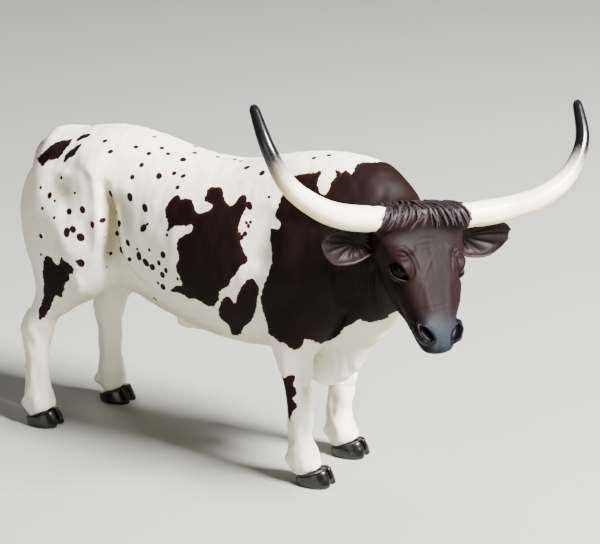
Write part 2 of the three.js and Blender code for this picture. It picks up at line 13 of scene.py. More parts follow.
import bpy
import numpy as np
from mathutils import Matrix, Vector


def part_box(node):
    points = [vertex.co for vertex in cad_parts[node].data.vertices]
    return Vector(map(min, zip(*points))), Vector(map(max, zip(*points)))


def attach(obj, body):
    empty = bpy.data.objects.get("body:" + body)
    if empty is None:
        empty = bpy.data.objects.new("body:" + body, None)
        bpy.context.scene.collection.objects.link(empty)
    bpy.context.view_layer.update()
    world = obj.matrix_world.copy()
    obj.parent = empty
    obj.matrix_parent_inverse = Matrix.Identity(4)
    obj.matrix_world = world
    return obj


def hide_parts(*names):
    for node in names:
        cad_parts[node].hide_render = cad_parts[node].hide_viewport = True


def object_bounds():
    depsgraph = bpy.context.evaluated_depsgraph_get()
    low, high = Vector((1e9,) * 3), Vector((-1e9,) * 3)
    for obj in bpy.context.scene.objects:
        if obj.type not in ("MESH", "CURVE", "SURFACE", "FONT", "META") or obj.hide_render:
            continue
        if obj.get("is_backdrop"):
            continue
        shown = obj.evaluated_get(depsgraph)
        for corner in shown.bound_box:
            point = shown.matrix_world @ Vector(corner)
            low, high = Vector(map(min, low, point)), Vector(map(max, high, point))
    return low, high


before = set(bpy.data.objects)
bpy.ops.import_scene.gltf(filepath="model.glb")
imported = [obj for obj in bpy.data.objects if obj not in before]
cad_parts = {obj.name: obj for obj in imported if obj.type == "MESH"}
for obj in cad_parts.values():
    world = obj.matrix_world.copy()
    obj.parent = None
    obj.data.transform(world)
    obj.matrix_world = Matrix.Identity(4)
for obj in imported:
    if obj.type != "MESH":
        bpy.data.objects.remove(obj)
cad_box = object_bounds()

import openvdb as vdb
from mathutils import Vector

print("nodes:", sorted(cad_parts))

# %% [markdown]
# ## Sizes
#
# Blender works in metres, but a toy is easier to think of in millimetres. Everything below is
# written in millimetres, in a body frame of its own: the spine is the plane x = 0, the animal's
# left is +x, it faces -y, and the soles are at z = 0. Only the last step of each piece turns it
# into metres. The forehooves and the eyes say where the body frame lies in the CAD frame.

# %% Millimetres and the body frame
MM = 0.001
POLL = np.array([-8.5, -64.8, 70.3])  # between the roots of the horns
HEAD_TURN = math.radians(31.7)  # to the animal's right
HEAD_TILT = math.radians(-6.4)
FACE_PITCH = math.radians(68.3)
EYE_SIDE, EYE_MIDDLE, EYE_DOWN, EYE_OUT, EYE_RADIUS = 7.2, 0.8, 12.3, -1.3, 2.2
EYE_LIFT = 0.8  # the painted eye sits this much higher than the solid one

forward = np.array([-math.sin(HEAD_TURN), -math.cos(HEAD_TURN), 0])
left = np.array([
    math.cos(HEAD_TURN) * math.cos(HEAD_TILT),
    -math.sin(HEAD_TURN) * math.cos(HEAD_TILT),
    math.sin(HEAD_TILT),
])
upward = -np.cross(left, forward)
down_face = forward * math.cos(FACE_PITCH) - upward * math.sin(FACE_PITCH)
out_of_face = forward * math.sin(FACE_PITCH) + upward * math.cos(FACE_PITCH)


def on_head(x, f, z):
    return POLL + left * x + forward * f + upward * z


def on_face(x, down, out):
    return POLL + left * x + down_face * down + out_of_face * out


def middle_of(node):
    low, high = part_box(node)
    return np.array((low + high) / 2) / MM


def design_eye(side):
    return on_face(EYE_MIDDLE + side * EYE_SIDE, EYE_DOWN, EYE_OUT)


def painted_eye(side):
    """The visible eyeball's middle."""
    return on_face(EYE_MIDDLE + side * EYE_SIDE, EYE_DOWN - EYE_LIFT, EYE_OUT)


shift = (middle_of("eye_left") + middle_of("eye_right") - design_eye(1) - design_eye(-1)) / 2
shift[0] = (middle_of("forehoof_left")[0] + middle_of("forehoof_right")[0]) / 2
shift[2] = 0
print("the body frame lies at", shift.round(2), "mm in the CAD frame")

# %% [markdown]
# ## Camera, floor and light
#
# The toy was photographed from its right side, a little ahead and above, with a long lens. A
# camera that looks at one point from a named direction and distance is the easiest to keep in
# step with that. The floor is plain and pale. A strong softbox stands high in front of the toy, and
# two weak ones open the shade on its right side and behind it.

# %% Camera
IMAGE_WIDTH, IMAGE_HEIGHT = 600, 544
PIXEL_FOCAL = 2113.5  # the focal length in pixels of the photograph
SENSOR = 36
FOCAL = SENSOR * PIXEL_FOCAL / IMAGE_WIDTH
TARGET = np.array([0, -28.76, 48.62])
AZIMUTH, ELEVATION, DISTANCE = -60.97, 18.97, 500.0


def way_to(azimuth, elevation):
    """The way from the toy to a place round it, in degrees: 0 is ahead of it, 90 is to its left."""
    a, e = math.radians(azimuth), math.radians(elevation)
    return np.array([math.sin(a) * math.cos(e), -math.cos(a) * math.cos(e), math.sin(e)])


back = way_to(AZIMUTH, ELEVATION)
camera_data = bpy.data.cameras.new("camera")
camera_data.lens = FOCAL
camera_data.sensor_width = SENSOR
camera = bpy.data.objects.new("camera", camera_data)
camera.location = (TARGET + back * DISTANCE + shift) * MM
camera.rotation_euler = Vector(back).to_track_quat("Z", "Y").to_euler()
bpy.context.scene.collection.objects.link(camera)
bpy.context.scene.camera = camera
print("camera", [round(v, 3) for v in camera.location], "lens", round(FOCAL, 1), "mm")

# %% Floor
BOWL_FLAT, BOWL_CURVE, BOWL_TOP = 1500, 900, 2800  # radius of the flat part and the curve; height
BOWL_SIDES = 96


def hex_linear(code):
    channels = [int(code[i:i + 2], 16) / 255 for i in (1, 3, 5)]
    return [c / 12.92 if c <= 0.04045 else ((c + 0.055) / 1.055) ** 2.4 for c in channels] + [1.0]


def mesh_object(name, vertices, faces):
    mesh = bpy.data.meshes.new(name)
    mesh.from_pydata((np.asarray(vertices) + shift) * MM, [], faces)
    mesh.validate()
    mesh.shade_smooth()
    made = bpy.data.objects.new(name, mesh)
    bpy.context.scene.collection.objects.link(made)
    return made


def plain_material(name, colour, roughness):
    made = bpy.data.materials.new(name)
    made.use_nodes = True
    shader = made.node_tree.nodes["Principled BSDF"]
    shader.inputs["Base Color"].default_value = hex_linear(colour)
    shader.inputs["Roughness"].default_value = roughness
    return made


def ring_quads(count, sides):
    """The faces between rings of points, each ring closed on itself."""
    k, j = np.meshgrid(np.arange(count - 1), np.arange(sides), indexing="ij")
    n = (j + 1) % sides
    corners = [k * sides + j, k * sides + n, (k + 1) * sides + n, (k + 1) * sides + j]
    return np.stack(corners, -1).reshape(-1, 4)


def paper_bowl():
    """A floor that curves up all round, far enough off to stay plain from any side."""
    profile = [(0.001, 0), (800, 0), (BOWL_FLAT, 0)]
    for a in np.linspace(0, math.pi / 2, 13)[1:]:
        profile.append((BOWL_FLAT + BOWL_CURVE * math.sin(a), BOWL_CURVE * (1 - math.cos(a))))
    profile.append((BOWL_FLAT + BOWL_CURVE, BOWL_TOP))
    turns = np.linspace(0, 2 * math.pi, BOWL_SIDES, endpoint=False)
    vertices = [(r * math.cos(a), r * math.sin(a), z) for r, z in profile for a in turns]
    return mesh_object("floor", vertices, ring_quads(len(profile), BOWL_SIDES).tolist())


floor = paper_bowl()
floor.data.materials.append(plain_material("pale paper", "#9a9a96", 0.95))
floor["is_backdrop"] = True
print("floor", round(2 * (BOWL_FLAT + BOWL_CURVE) * MM, 1), "m across")

# %% Lights
SOFTBOXES = {  # degrees round and up, metres off, metres across, watts
    "key softbox": (-2, 42, 0.75, 0.26, 52.0),
    "fill softbox": (-85, 14, 0.9, 0.6, 1.6),
    "back softbox": (150, 50, 0.9, 0.4, 2.0),
}
ROOM_LIGHT = 0.06


def softbox(name, azimuth, elevation, distance, size, watts):
    direction = Vector(way_to(azimuth, elevation))
    data = bpy.data.lights.new(name, "AREA")
    data.shape, data.size, data.energy = "DISK", size, watts
    lamp = bpy.data.objects.new(name, data)
    lamp.location = direction * distance + Vector(TARGET * MM)
    lamp.rotation_euler = direction.to_track_quat("Z", "Y").to_euler()
    bpy.context.scene.collection.objects.link(lamp)


for name, settings in SOFTBOXES.items():
    softbox(name, *settings)
world = bpy.data.worlds.new("studio")
world.use_nodes = True
world.node_tree.nodes["Background"].inputs["Color"].default_value = (1, 1, 1, 1)
world.node_tree.nodes["Background"].inputs["Strength"].default_value = ROOM_LIGHT
bpy.context.scene.world = world
print(len(SOFTBOXES), "softboxes")

# %% [markdown]
# ## One skin over the solids
#
# The toy's body, legs, neck and head are one moulding with soft, rounded joins. Subdivision
# surfaces can't join separate lofts, and a voxel remesh modifier gives no say in how round each
# join is. A distance field does: it holds, at each point of a grid, how far the nearest surface
# is. The smallest of several fields is their union, a blur rounds its joins and takes its facets
# away, and its zero level is the skin. The legs and the head are blurred less than the trunk,
# because their forms are smaller.

# %% Distance field of the solids
VOXEL = 0.3
BAND = 3.0  # how far from the surface the field is kept
LEGS = [f"{end}leg_{side}" for end in ("fore", "hind") for side in ("left", "right")]
FLESH = ["torso", "neck", "head", "tail"] + LEGS


def solid(node):
    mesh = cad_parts[node].data
    mesh.calc_loop_triangles()
    points = np.empty(len(mesh.vertices) * 3, np.float32)
    mesh.vertices.foreach_get("co", points)
    corners = np.empty(len(mesh.loop_triangles) * 3, np.int32)
    mesh.loop_triangles.foreach_get("vertices", corners)
    return points.reshape(-1, 3) / MM - shift, corners.reshape(-1, 3)


class Field:
    """Distances on a grid of cubes, in millimetres, with its lowest corner at a whole cube."""

    def __init__(self, low, high, voxel):
        self.voxel = voxel
        self.start = np.floor(np.asarray(low) / voxel).astype(int)
        self.shape = np.ceil(np.asarray(high) / voxel).astype(int) - self.start + 1
        self.values = np.full(self.shape, BAND, np.float32)

    def axis(self, k):
        shape = [1, 1, 1]
        shape[k] = -1
        places = (self.start[k] + np.arange(self.shape[k])) * self.voxel
        return places.astype(np.float32).reshape(shape)

    def part(self, low, high):
        """The first cube, and the window of cubes, of the part of the grid in a box."""
        a = np.floor(np.asarray(low) / self.voxel).astype(int) - self.start
        b = np.ceil(np.asarray(high) / self.voxel).astype(int) - self.start + 1
        a, b = np.clip(a, 0, self.shape - 1), np.clip(b, 1, self.shape)
        return a, tuple(slice(i, j) for i, j in zip(a, b))

    def join(self, window, distances):
        self.values[window] = np.minimum(self.values[window], distances)

    def add_solid(self, points, triangles):
        a, window = self.part(points.min(0) - BAND, points.max(0) + BAND)
        steps = BAND / self.voxel
        grid = vdb.FloatGrid.createLevelSetFromPolygons(
            points.astype(np.float32), triangles=triangles.astype(np.uint32),
            transform=vdb.createLinearTransform(voxelSize=self.voxel),
            exBandWidth=steps, inBandWidth=steps)
        near = np.empty(self.values[window].shape, np.float32)
        grid.copyToArray(near, ijk=tuple(int(v) for v in self.start + a))
        self.join(window, near)

    def surface(self, level=0.0):
        grid = vdb.FloatGrid(BAND)
        grid.copyFromArray(self.values, ijk=tuple(int(v) for v in self.start), tolerance=1e-6)
        grid.transform = vdb.createLinearTransform(voxelSize=self.voxel)
        points, _, quads = grid.convertToPolygons(isovalue=level, adaptivity=0)
        return points.astype(np.float64), quads.astype(np.int64)


def blurred(values, spread, voxel, axes=(0, 1, 2)):
    """A Gaussian blur along each axis in turn. The spread is in millimetres."""
    radius = int(math.ceil(2.6 * spread / voxel))
    weights = np.exp(-0.5 * (np.arange(-radius, radius + 1) * voxel / spread) ** 2)
    weights = (weights / weights.sum()).astype(np.float32)
    for axis in axes:
        padding = [(0, 0)] * 3
        padding[axis] = (radius, radius)
        padded = np.pad(values, padding, mode="edge")
        size = values.shape[axis]
        total = np.zeros_like(values)
        for k, weight in enumerate(weights):
            window = [slice(None)] * 3
            window[axis] = slice(k, k + size)
            total += weight * padded[tuple(window)]
        values = total
    return values


solids = {node: solid(node) for node in FLESH}
low = np.min([points.min(0) for points, _ in solids.values()], axis=0) - BAND
high = np.max([points.max(0) for points, _ in solids.values()], axis=0) + BAND
flesh = Field(low, high, VOXEL)
for points, triangles in solids.values():
    flesh.add_solid(points, triangles)
print("grid of", flesh.shape, "cubes of", VOXEL, "mm")

# %% Round the joins
TRUNK_BLUR, LEG_BLUR, HEAD_BLUR, HOLLOW_BLUR = 1.25, 0.6, 0.7, 2.6
LEGS_TO_TRUNK = (26, 36)  # the heights between which one blur gives way to the next
TRUNK_TO_TAIL = (42.6, 44.4)  # along the spine
NECK_TO_FACE = (-9.5, -5.5)  # ahead of the poll


def ramp(values, start, end):
    t = np.clip((values - start) / (end - start), 0, 1)
    return t * t * (3 - 2 * t)


def blend_by(share, one, other):
    return one + (other - one) * share


def cubes_near(field, centre, reach):
    """The window of a field's grid round a point, and its cubes' offsets from that point."""
    _, window = field.part(centre - reach, centre + reach)
    counts = [np.arange(part.start, part.stop) for part in window]
    axes = [(start + count) * field.voxel for start, count in zip(field.start, counts)]
    return window, np.stack(np.meshgrid(*axes, indexing="ij"), -1) - centre


def capsule_chain(offset, points, radii):
    """Distance to a string of balls, one after the other, joined by cones."""
    nearest = np.full(offset.shape[:-1], BAND, np.float32)
    for a, b, ra, rb in zip(points, points[1:], radii, radii[1:]):
        d = b - a
        t = np.clip((offset - a) @ d / (d @ d), 0, 1)
        gap = np.linalg.norm(offset - a - t[..., None] * d, axis=-1)
        nearest = np.minimum(nearest, gap - ra - t * (rb - ra))
    return nearest


POLL_ROLL = [(-9.9, -0.3, -0.3), (-5, -1.1, -0.3), (0, -1.5, -0.3), (5, -1.1, -0.3), (8.4, -0.3, -0.3)]
POLL_ROLL_RADII = [3.4, 3.2, 2.9, 3.2, 3.4]  # the pad of skin and hair from horn to horn
CROWN_HEIGHT = 1.8  # the skin's top, which leaves room for the hair

window, offset = cubes_near(flesh, POLL, 14)
flesh.join(window, capsule_chain(offset + POLL, [on_head(*place) for place in POLL_ROLL], POLL_ROLL_RADII))
above = np.where(offset @ forward > -10, offset @ upward - CROWN_HEIGHT, -BAND)
flesh.values[window] = np.maximum(flesh.values[window], above)

x, y, z = (flesh.axis(k) for k in range(3))
ahead = (x - POLL[0]) * forward[0] + (y - POLL[1]) * forward[1]
legs, trunk, face = (blurred(flesh.values, spread, VOXEL) for spread in (LEG_BLUR, TRUNK_BLUR, HEAD_BLUR))
trunk = blend_by(ramp(z, *LEGS_TO_TRUNK), legs, trunk)
trunk = blend_by(ramp(y, *TRUNK_TO_TAIL), trunk, legs)  # the tail is thin, so it is blurred as the legs are
flesh.values = blend_by(ramp(ahead, *NECK_TO_FACE), trunk, face)
# A softer copy of the field tells the paint where the hollows are, for the wash and painted shade in them.
softer = blurred(flesh.values, HOLLOW_BLUR, VOXEL)  # kept for the paint in the hollows
print("the field is rounded")

# %% [markdown]
# ## Lids and nostrils
#
# The face's openings are too deep for a displacement, so they are made in the field, where a
# form is joined by taking the smaller distance and cut by taking the larger. A lid is a thin
# shell round the eyeball with an almond-shaped slit. The slit runs from the inner corner, low and
# near the nose, to the outer corner, high and near the ear. A nostril is a comma: a round hole
# that narrows as it sweeps up and outwards.

# %% Lids and nostrils
EYE_SLIT_TURN = math.radians(38)
SLIT_HALF_LENGTH, SLIT_HALF_HEIGHT, SLIT_DROP = 2.9, 1.4, 0.25
LID_LIFT, LID_THICKNESS, LID_BLUR = 0.3, 0.42, 0.26
LID_FOLDS = [(1.65, 3.3, 0.52), (2.75, 4.2, 0.5)]  # the upper lid's: height, half length and radius


def unit(v):
    return np.asarray(v) / np.linalg.norm(v)


def eye_axes(side):
    """Out of the eyeball, along the slit, and across it towards the brow."""
    outward = unit(left * side * 0.8 + out_of_face * 0.6)
    inner = unit(out_of_face * 0.8 - left * side * 0.6)
    slit = down_face * math.cos(EYE_SLIT_TURN) + inner * math.sin(EYE_SLIT_TURN)
    over = inner * math.cos(EYE_SLIT_TURN) - down_face * math.sin(EYE_SLIT_TURN)
    return outward, slit, over


def join_lids(side):
    outward, slit, over = eye_axes(side)
    window, offset = cubes_near(flesh, painted_eye(side), EYE_RADIUS + 3)
    along, up, out = offset @ slit, offset @ over, offset @ outward
    gap = SLIT_HALF_HEIGHT * (1 - (along / SLIT_HALF_LENGTH) ** 2) - np.abs(up + SLIT_DROP)
    off_ball = np.linalg.norm(offset, axis=-1) - EYE_RADIUS
    lid = np.maximum(np.abs(off_ball - LID_LIFT) - LID_THICKNESS, gap)
    for height, length, radius in LID_FOLDS:
        middle = height * (1 - (along / length) ** 2)
        lid = np.minimum(lid, np.hypot(up - middle, off_ball - 0.4) - radius + 0.04 * along ** 2)
    flesh.join(window, np.where(out > -0.3, lid, BAND))
    flesh.values[window] = blurred(flesh.values[window], LID_BLUR, VOXEL)


# Out from the face's middle, down the face, and off it.
NOSTRIL_PATH = [(3.3, 27.5, 2.6), (4.2, 26.7, 2.7), (5.1, 25.6, 2.4), (5.6, 24.6, 2.0)]
NOSTRIL_RADII, NOSTRIL_RIM, NOSTRIL_BLUR = [0.65, 1.08, 0.95, 0.5], 0.75, 0.22


def cut_nostril(side):
    points = [on_face(side * out + 0.6, down, off) for out, down, off in NOSTRIL_PATH]
    centre = points[1]
    window, offset = cubes_near(flesh, centre, 6)
    places = offset + centre
    outward = 0.8 * out_of_face + 0.6 * side * left
    aside = 0.5 * side * left - 0.5 * out_of_face
    hole = capsule_chain(places, points, NOSTRIL_RADII)
    hole = np.minimum(hole, capsule_chain(places, [p + outward for p in points], NOSTRIL_RADII))
    rim_radii = [radius + NOSTRIL_RIM for radius in NOSTRIL_RADII]
    flesh.join(window, capsule_chain(places, [p + aside for p in points], rim_radii))
    flesh.values[window] = blurred(np.maximum(flesh.values[window], -hole), NOSTRIL_BLUR, VOXEL)


for side in (1, -1):
    join_lids(side)
    cut_nostril(side)
skin_points, skin_quads = flesh.surface(0.04)
print("skin:", len(skin_points), "points,", len(skin_quads), "faces")

# %% [markdown]
# ## Muzzle and forehead
#
# Beside the photograph, the solid's muzzle is a little too broad and its forehead a little too
# narrow. A lattice modifier could bend them, but the skin's points are at hand, so each is moved
# sideways by a share that fades out smoothly down the face and behind it.

# %% A narrower muzzle and a wider forehead
MUZZLE_WIDTH, MUZZLE_SHIFT, FOREHEAD_WIDTH = 0.86, -0.55, 1.14
from_poll = skin_points - POLL
ahead, down, aside = from_poll @ forward, from_poll @ down_face, from_poll @ left - EYE_MIDDLE
muzzle = ramp(down, 19, 25) * ramp(ahead, -6, 0)
forehead = ramp(-down, -11, -5) * ramp(ahead, -9, -3) * ramp(down, -3, 1)
moved = muzzle * (aside * (MUZZLE_WIDTH - 1) + MUZZLE_SHIFT) + forehead * aside * (FOREHEAD_WIDTH - 1)
skin_points += np.outer(moved, left)
print("moved by up to", abs(moved).max().round(2), "mm")

# %% [markdown]
# ## Modelling the muscles and folds
#
# The sculptor of the toy cut the flank's crease, the neck's wrinkles and the tendons with strokes
# of a tool. A stroke here is a line on the skin with a width and a height: the skin near the line
# moves out along its normal, or in where the height is negative, and fades with a bell curve.
# The lines on the side that the photograph shows are named by its pixels and cast on to the skin
# through the camera. Those on the trunk are mirrored for the other side.

# %% Where a pixel meets the skin
from mathutils.bvhtree import BVHTree

camera_place = TARGET + back * DISTANCE
camera_right = unit(np.cross((0, 0, 1), back))
camera_up = np.cross(back, camera_right)
skin_tree = BVHTree.FromPolygons(skin_points.tolist(), skin_quads.tolist())


def seen(pixels):
    """The places on the skin under pixels of the photograph, in body millimetres."""
    found = []
    for px, py in pixels:
        across, down = px - IMAGE_WIDTH / 2, py - IMAGE_HEIGHT / 2
        ray = camera_right * across - camera_up * down - back * PIXEL_FOCAL
        hit = skin_tree.ray_cast(Vector(camera_place), Vector(ray))[0]
        if hit is not None:
            found.append(np.array(hit))
    return np.array(found)


def on_skin(points):
    return np.array([skin_tree.find_nearest(Vector(p))[0] for p in points])


def mirrored(points):
    return on_skin(points * (-1, 1, 1))


print("the skin's nearest place to the withers:", on_skin([(0, -40, 85)])[0].round(1))


# %% Strokes
def smooth_line(points, steps=5, closed=False):
    """A centripetal Catmull-Rom curve through points, which never overshoots."""
    points = np.asarray(points, float)
    if closed:
        padded = np.vstack([points[-1:], points, points[:2]])
    else:
        padded = np.vstack([2 * points[0] - points[1], points, 2 * points[-1] - points[-2]])
    knots = np.maximum(np.linalg.norm(np.diff(padded, axis=0), axis=1), 1e-6) ** 0.5
    pieces = []
    for k, (a, b, c, d) in enumerate(zip(padded, padded[1:], padded[2:], padded[3:])):
        t1, t2, t3 = np.cumsum(knots[k:k + 3])
        t = t1 + (t2 - t1) * (np.arange(steps) / steps)[:, None]
        ab = a + (b - a) * t / t1
        bc = b + (c - b) * (t - t1) / (t2 - t1)
        cd = c + (d - c) * (t - t2) / (t3 - t2)
        abc, bcd = ab + (bc - ab) * t / t2, bc + (cd - bc) * (t - t1) / (t3 - t1)
        pieces.append(abc + (bcd - abc) * (t - t1) / (t2 - t1))
    return np.vstack(pieces if closed else pieces + [points[-1:]])


def normals_of(points, quads):
    corners = points[quads]
    across = np.cross(corners[:, 2] - corners[:, 0], corners[:, 3] - corners[:, 1])
    total = np.zeros_like(points)
    for k in range(4):
        for axis in range(3):
            total[:, axis] += np.bincount(quads[:, k], across[:, axis], len(points))
    return total / np.maximum(np.linalg.norm(total, axis=1), 1e-12)[:, None]


def line_distance(points, line):
    """Each point's distance from a line, and how far along it the nearest place is, from 0 to 1."""
    nearest = np.full(len(points), 1e9)
    place = np.zeros(len(points))
    for k, (a, b) in enumerate(zip(line, line[1:])):
        d = b - a
        t = np.clip((points - a) @ d / max(d @ d, 1e-9), 0, 1)
        gap = np.linalg.norm(points - a - t[:, None] * d, axis=1)
        closer = gap < nearest
        nearest[closer], place[closer] = gap[closer], (k + t[closer]) / (len(line) - 1)
    return nearest, place


class Clay:
    """The skin's points, and how far each one is pushed along its normal."""

    def __init__(self, points, quads):
        self.points, self.quads = points, quads
        self.normals = normals_of(points, quads)
        self.push = np.zeros(len(points))

    def near(self, line, reach):
        low, high = line.min(0) - reach, line.max(0) + reach
        return np.flatnonzero(((self.points > low) & (self.points < high)).all(1))

    def stroke(self, line, width, height, fade=0.25, onto=None):
        """Raises, or with a negative height cuts, a line of a given half width."""
        onto = self.push if onto is None else onto
        line = np.asarray(line, float)
        if len(line) < 2:
            return
        line = smooth_line(line)
        close = self.near(line, 2.6 * width)
        gap, place = line_distance(self.points[close], line)
        ends = ramp(place, 0, fade) * ramp(1 - place, 0, fade) if fade else 1
        onto[close] += height * np.exp(-(gap / width) ** 2) * ends

    def dab(self, centre, width, height, onto=None):
        onto = self.push if onto is None else onto
        centre = np.asarray(centre, float).reshape(1, 3)
        close = self.near(centre, 2.6 * width)
        gap = np.linalg.norm(self.points[close] - centre, axis=1)
        onto[close] += height * np.exp(-(gap / width) ** 2)


clay = Clay(skin_points, skin_quads)
print("ready to model", len(clay.points), "points")

# %% The trunk: hip, flank, shoulder
RELIEF = 1.35  # how much deeper the strokes are cut than their heights say
TRUNK_STROKES = [  # pixels, half width and height in millimetres
    ([(84, 164), (91, 171), (96, 184), (98, 205), (98, 230), (96, 252), (93, 275)], 1.6, 0.45),
    ([(102, 176), (104.5, 190), (106, 212), (106.5, 238), (104, 264)], 1.4, -0.75),
    ([(108, 188), (112, 205), (114, 228), (112, 252), (107, 278)], 3.2, -0.8),
    ([(104, 188), (109, 210), (114, 235), (121, 256), (134, 274), (154, 292)], 0.8, -0.4),
    ([(108, 188), (113, 210), (118, 235), (125, 255), (138, 272), (157, 289)], 1.1, 0.3),
    ([(93, 164), (80, 172), (66, 176), (54, 172)], 2.0, 0.3),
    ([(50, 205), (56, 225), (66, 246), (78, 262)], 2.2, 0.3),
    ([(58, 262), (66, 284), (60, 304), (50, 322)], 1.4, -0.35),
    ([(76, 272), (80, 288), (72, 302), (62, 316)], 1.3, 0.3),
    ([(267, 203), (265, 228), (261, 252), (256, 275)], 4.0, -0.55),
    ([(285, 215), (283, 245), (284, 275), (292, 300)], 4.0, 0.45),
    ([(345, 307), (341, 322), (332, 336), (319, 352)], 0.8, -0.6),
    ([(349, 312), (345, 326), (337, 339)], 0.8, 0.25),
]
TRUNK_DABS = [
    ((92, 166), 3.4, 0.8), ((58, 190), 4.4, -1.1), ((74, 222), 5.5, 0.45), ((120, 214), 6.5, -0.6),
    ((62, 150), 4.0, -0.35), ((305, 290), 6.0, 0.5), ((55, 268), 3.2, -0.3), ((330, 215), 6.0, 0.3),
]
MIDDLE_DABS = [  # the tail's head, the loins before it, and the belly, in millimetres
    ((0, 41, 74), 4.5, 1.0), ((0, 32, 77), 5.0, -0.4), ((0, 0, 27.5), 3.4, -1.0),
]
for pixels, width, height in TRUNK_STROKES:
    line = seen(pixels)
    clay.stroke(line, width, RELIEF * height)
    clay.stroke(mirrored(line), width, RELIEF * height)
for pixel, width, height in TRUNK_DABS:
    for centre in (seen([pixel]), mirrored(seen([pixel]))):
        clay.dab(centre, width, height)
for place, width, height in MIDDLE_DABS:
    clay.dab(on_skin([place]), width, height)
print("trunk modelled, up to", clay.push.max().round(2), "mm out and", clay.push.min().round(2), "mm in")

# %% The neck's wrinkles and the brisket's folds
SIDE_FOLDS = [(319, 352, 371), (327, 349, 375), (335, 346, 378), (345, 344, 374)]  # pixels: x, top, bottom
FRONT_FOLDS = [(-2.4, 44, 33), (0.4, 42, 31.5), (3.0, 44, 33.5)]  # millimetres: aside, top, bottom

for k in range(7):
    wrinkle = seen([(334 + 6.4 * k, 258 + k), (335 + 6.0 * k, 284), (341 + 6.0 * k, 313)])
    clay.stroke(wrinkle, 0.7, -0.9, fade=0.3)
    clay.stroke(wrinkle + (0, 1.2, 0), 0.75, 0.5, fade=0.3)
for x, top, bottom in SIDE_FOLDS:
    fold = seen([(x, top), (x + 2, (top + bottom) / 2), (x + 4, bottom)])
    for line in (fold, mirrored(fold)):
        clay.stroke(line, 0.7, -0.3, fade=0.3)
for aside, top, bottom in FRONT_FOLDS:
    fold = on_skin([(aside, -62, top), (0.9 * aside, -60, (top + bottom) / 2), (0.7 * aside, -55, bottom)])
    clay.stroke(fold, 0.9, -0.35)
    clay.stroke(fold + (1.2, 0, 0), 0.9, 0.2)
print("neck and brisket modelled")

# %% Knees, hocks and tendons
LEG_MIDDLES = {  # across and along the spine
    "foreleg_right": (-9.6, -34.3), "foreleg_left": (9.6, -35.1),
    "hindleg_right": (-11, 41), "hindleg_left": (11, 33.6),
}


def leg_mark(leg, height, degrees):
    """The place on a leg's skin at a height, turned from dead ahead to the leg's outer side."""
    x, y = LEG_MIDDLES[leg]
    side, angle = math.copysign(1, x), math.radians(degrees)
    way = Vector((side * math.sin(angle), -math.cos(angle), 0))
    hit = skin_tree.ray_cast(Vector((x, y, height)) + way * 7.5, -way)[0]
    return np.array(hit if hit is not None else Vector((x, y, height)) + way * 3)


def leg_line(leg, heights, degrees):
    """A line along a leg where the heights vary, or round it where the degrees do."""
    return [leg_mark(leg, h, a) for h, a in np.broadcast(heights, degrees)]


TENDONS = {"fore": 17.5, "hind": 24}  # how high they run
# Heights, degrees, half width, height of the relief, and how much of each end fades.
SHIN_STROKES = [(12.5, range(-90, 91, 30), 2.4, -0.22, 0.2), (3.1, range(-120, 121, 30), 0.5, 0.32, 0.1)]
SHIN_DABS = [(7.4, 60, 1.6, 0.4), (7.4, -60, 1.6, 0.4), (5.2, 0, 1.4, -0.35)]  # the fetlock and pastern
JOINT_STROKES = {"fore": [
    (18.0, range(-60, 61, 20), 0.8, -0.35, 0.25), (24.8, range(-50, 71, 20), 1.0, -0.35, 0.25),
    ((25, 29, 33, 37), 60, 1.2, -0.4, 0.25), ((24, 28, 32, 35), 115, 1.4, 0.3, 0.25),
], "hind": [((30, 33, 37, 41), 100, 1.3, -0.6, 0.25)]}
JOINT_DABS = {
    "fore": [(21.0, 5, 2.2, 0.75), (21.5, 80, 1.8, 0.35), (21.0, -80, 1.8, 0.35), (20.0, 175, 1.3, 0.5)],
    "hind": [(27.0, 85, 1.9, 0.55), (27.0, -85, 1.9, 0.35), (28.5, 5, 1.8, -0.35)],
}

for leg in LEG_MIDDLES:
    end = leg[:4]
    top = TENDONS[end]
    for turn in (112, -112):  # the groove between cannon bone and tendon, outside and inside
        clay.stroke(leg_line(leg, np.linspace(8.8, top, 5), turn), 0.8, -0.6, fade=0.3)
    clay.stroke(leg_line(leg, np.linspace(9.5, top - 1, 4), 0), 1.3, 0.2)
    for heights, degrees, width, height, fade in SHIN_STROKES + JOINT_STROKES[end]:
        clay.stroke(leg_line(leg, heights, degrees), width, height, fade)
    for place, degrees, width, height in SHIN_DABS + JOINT_DABS[end]:
        clay.dab(leg_mark(leg, place, degrees), width, height)
print("legs modelled")

# %% The face
FACE_STROKES = [  # out from the middle, down the face and off it; half width and height
    ([(7.4, 15.5, -1), (7.0, 18, -1.5), (6.2, 21, -1.5), (5.6, 23, -1)], 0.9, 0.22),
    ([(5.4, 13.8, 3), (4.9, 17, 3), (4.5, 20, 2.8), (4.4, 22.4, 2.6)], 1.3, -0.14),
    ([(3.4, 14, 3), (3.1, 17, 3.2), (2.8, 20, 3.3), (2.8, 22.6, 3.4)], 0.9, 0.1),
    ([(4.6, 8.4, 2), (6.4, 8.9, 1.4), (8.2, 10.4, 0)], 0.5, -0.22),
    ([(3.8, 7.0, 2.4), (6.0, 7.2, 1.6), (8.2, 8.6, 0)], 0.9, 0.2),
    ([(5.2, 24.4, -2.6), (5.2, 27, -2), (4.0, 29.2, -1), (1.2, 30.4, -0.6)], 0.5, -0.35),
    ([(8.4, 14, -7), (7.6, 17, -8), (6.6, 20, -6), (5.6, 23, -4.6)], 0.8, 0.25),
    ([(8.2, 16.5, -4), (7.0, 20, -4), (5.8, 23, -3.2)], 1.2, -0.25),
    ([(1.4, 28.0, 3), (1.5, 29.2, 2), (1.0, 30.2, 1)], 0.4, -0.15),
]
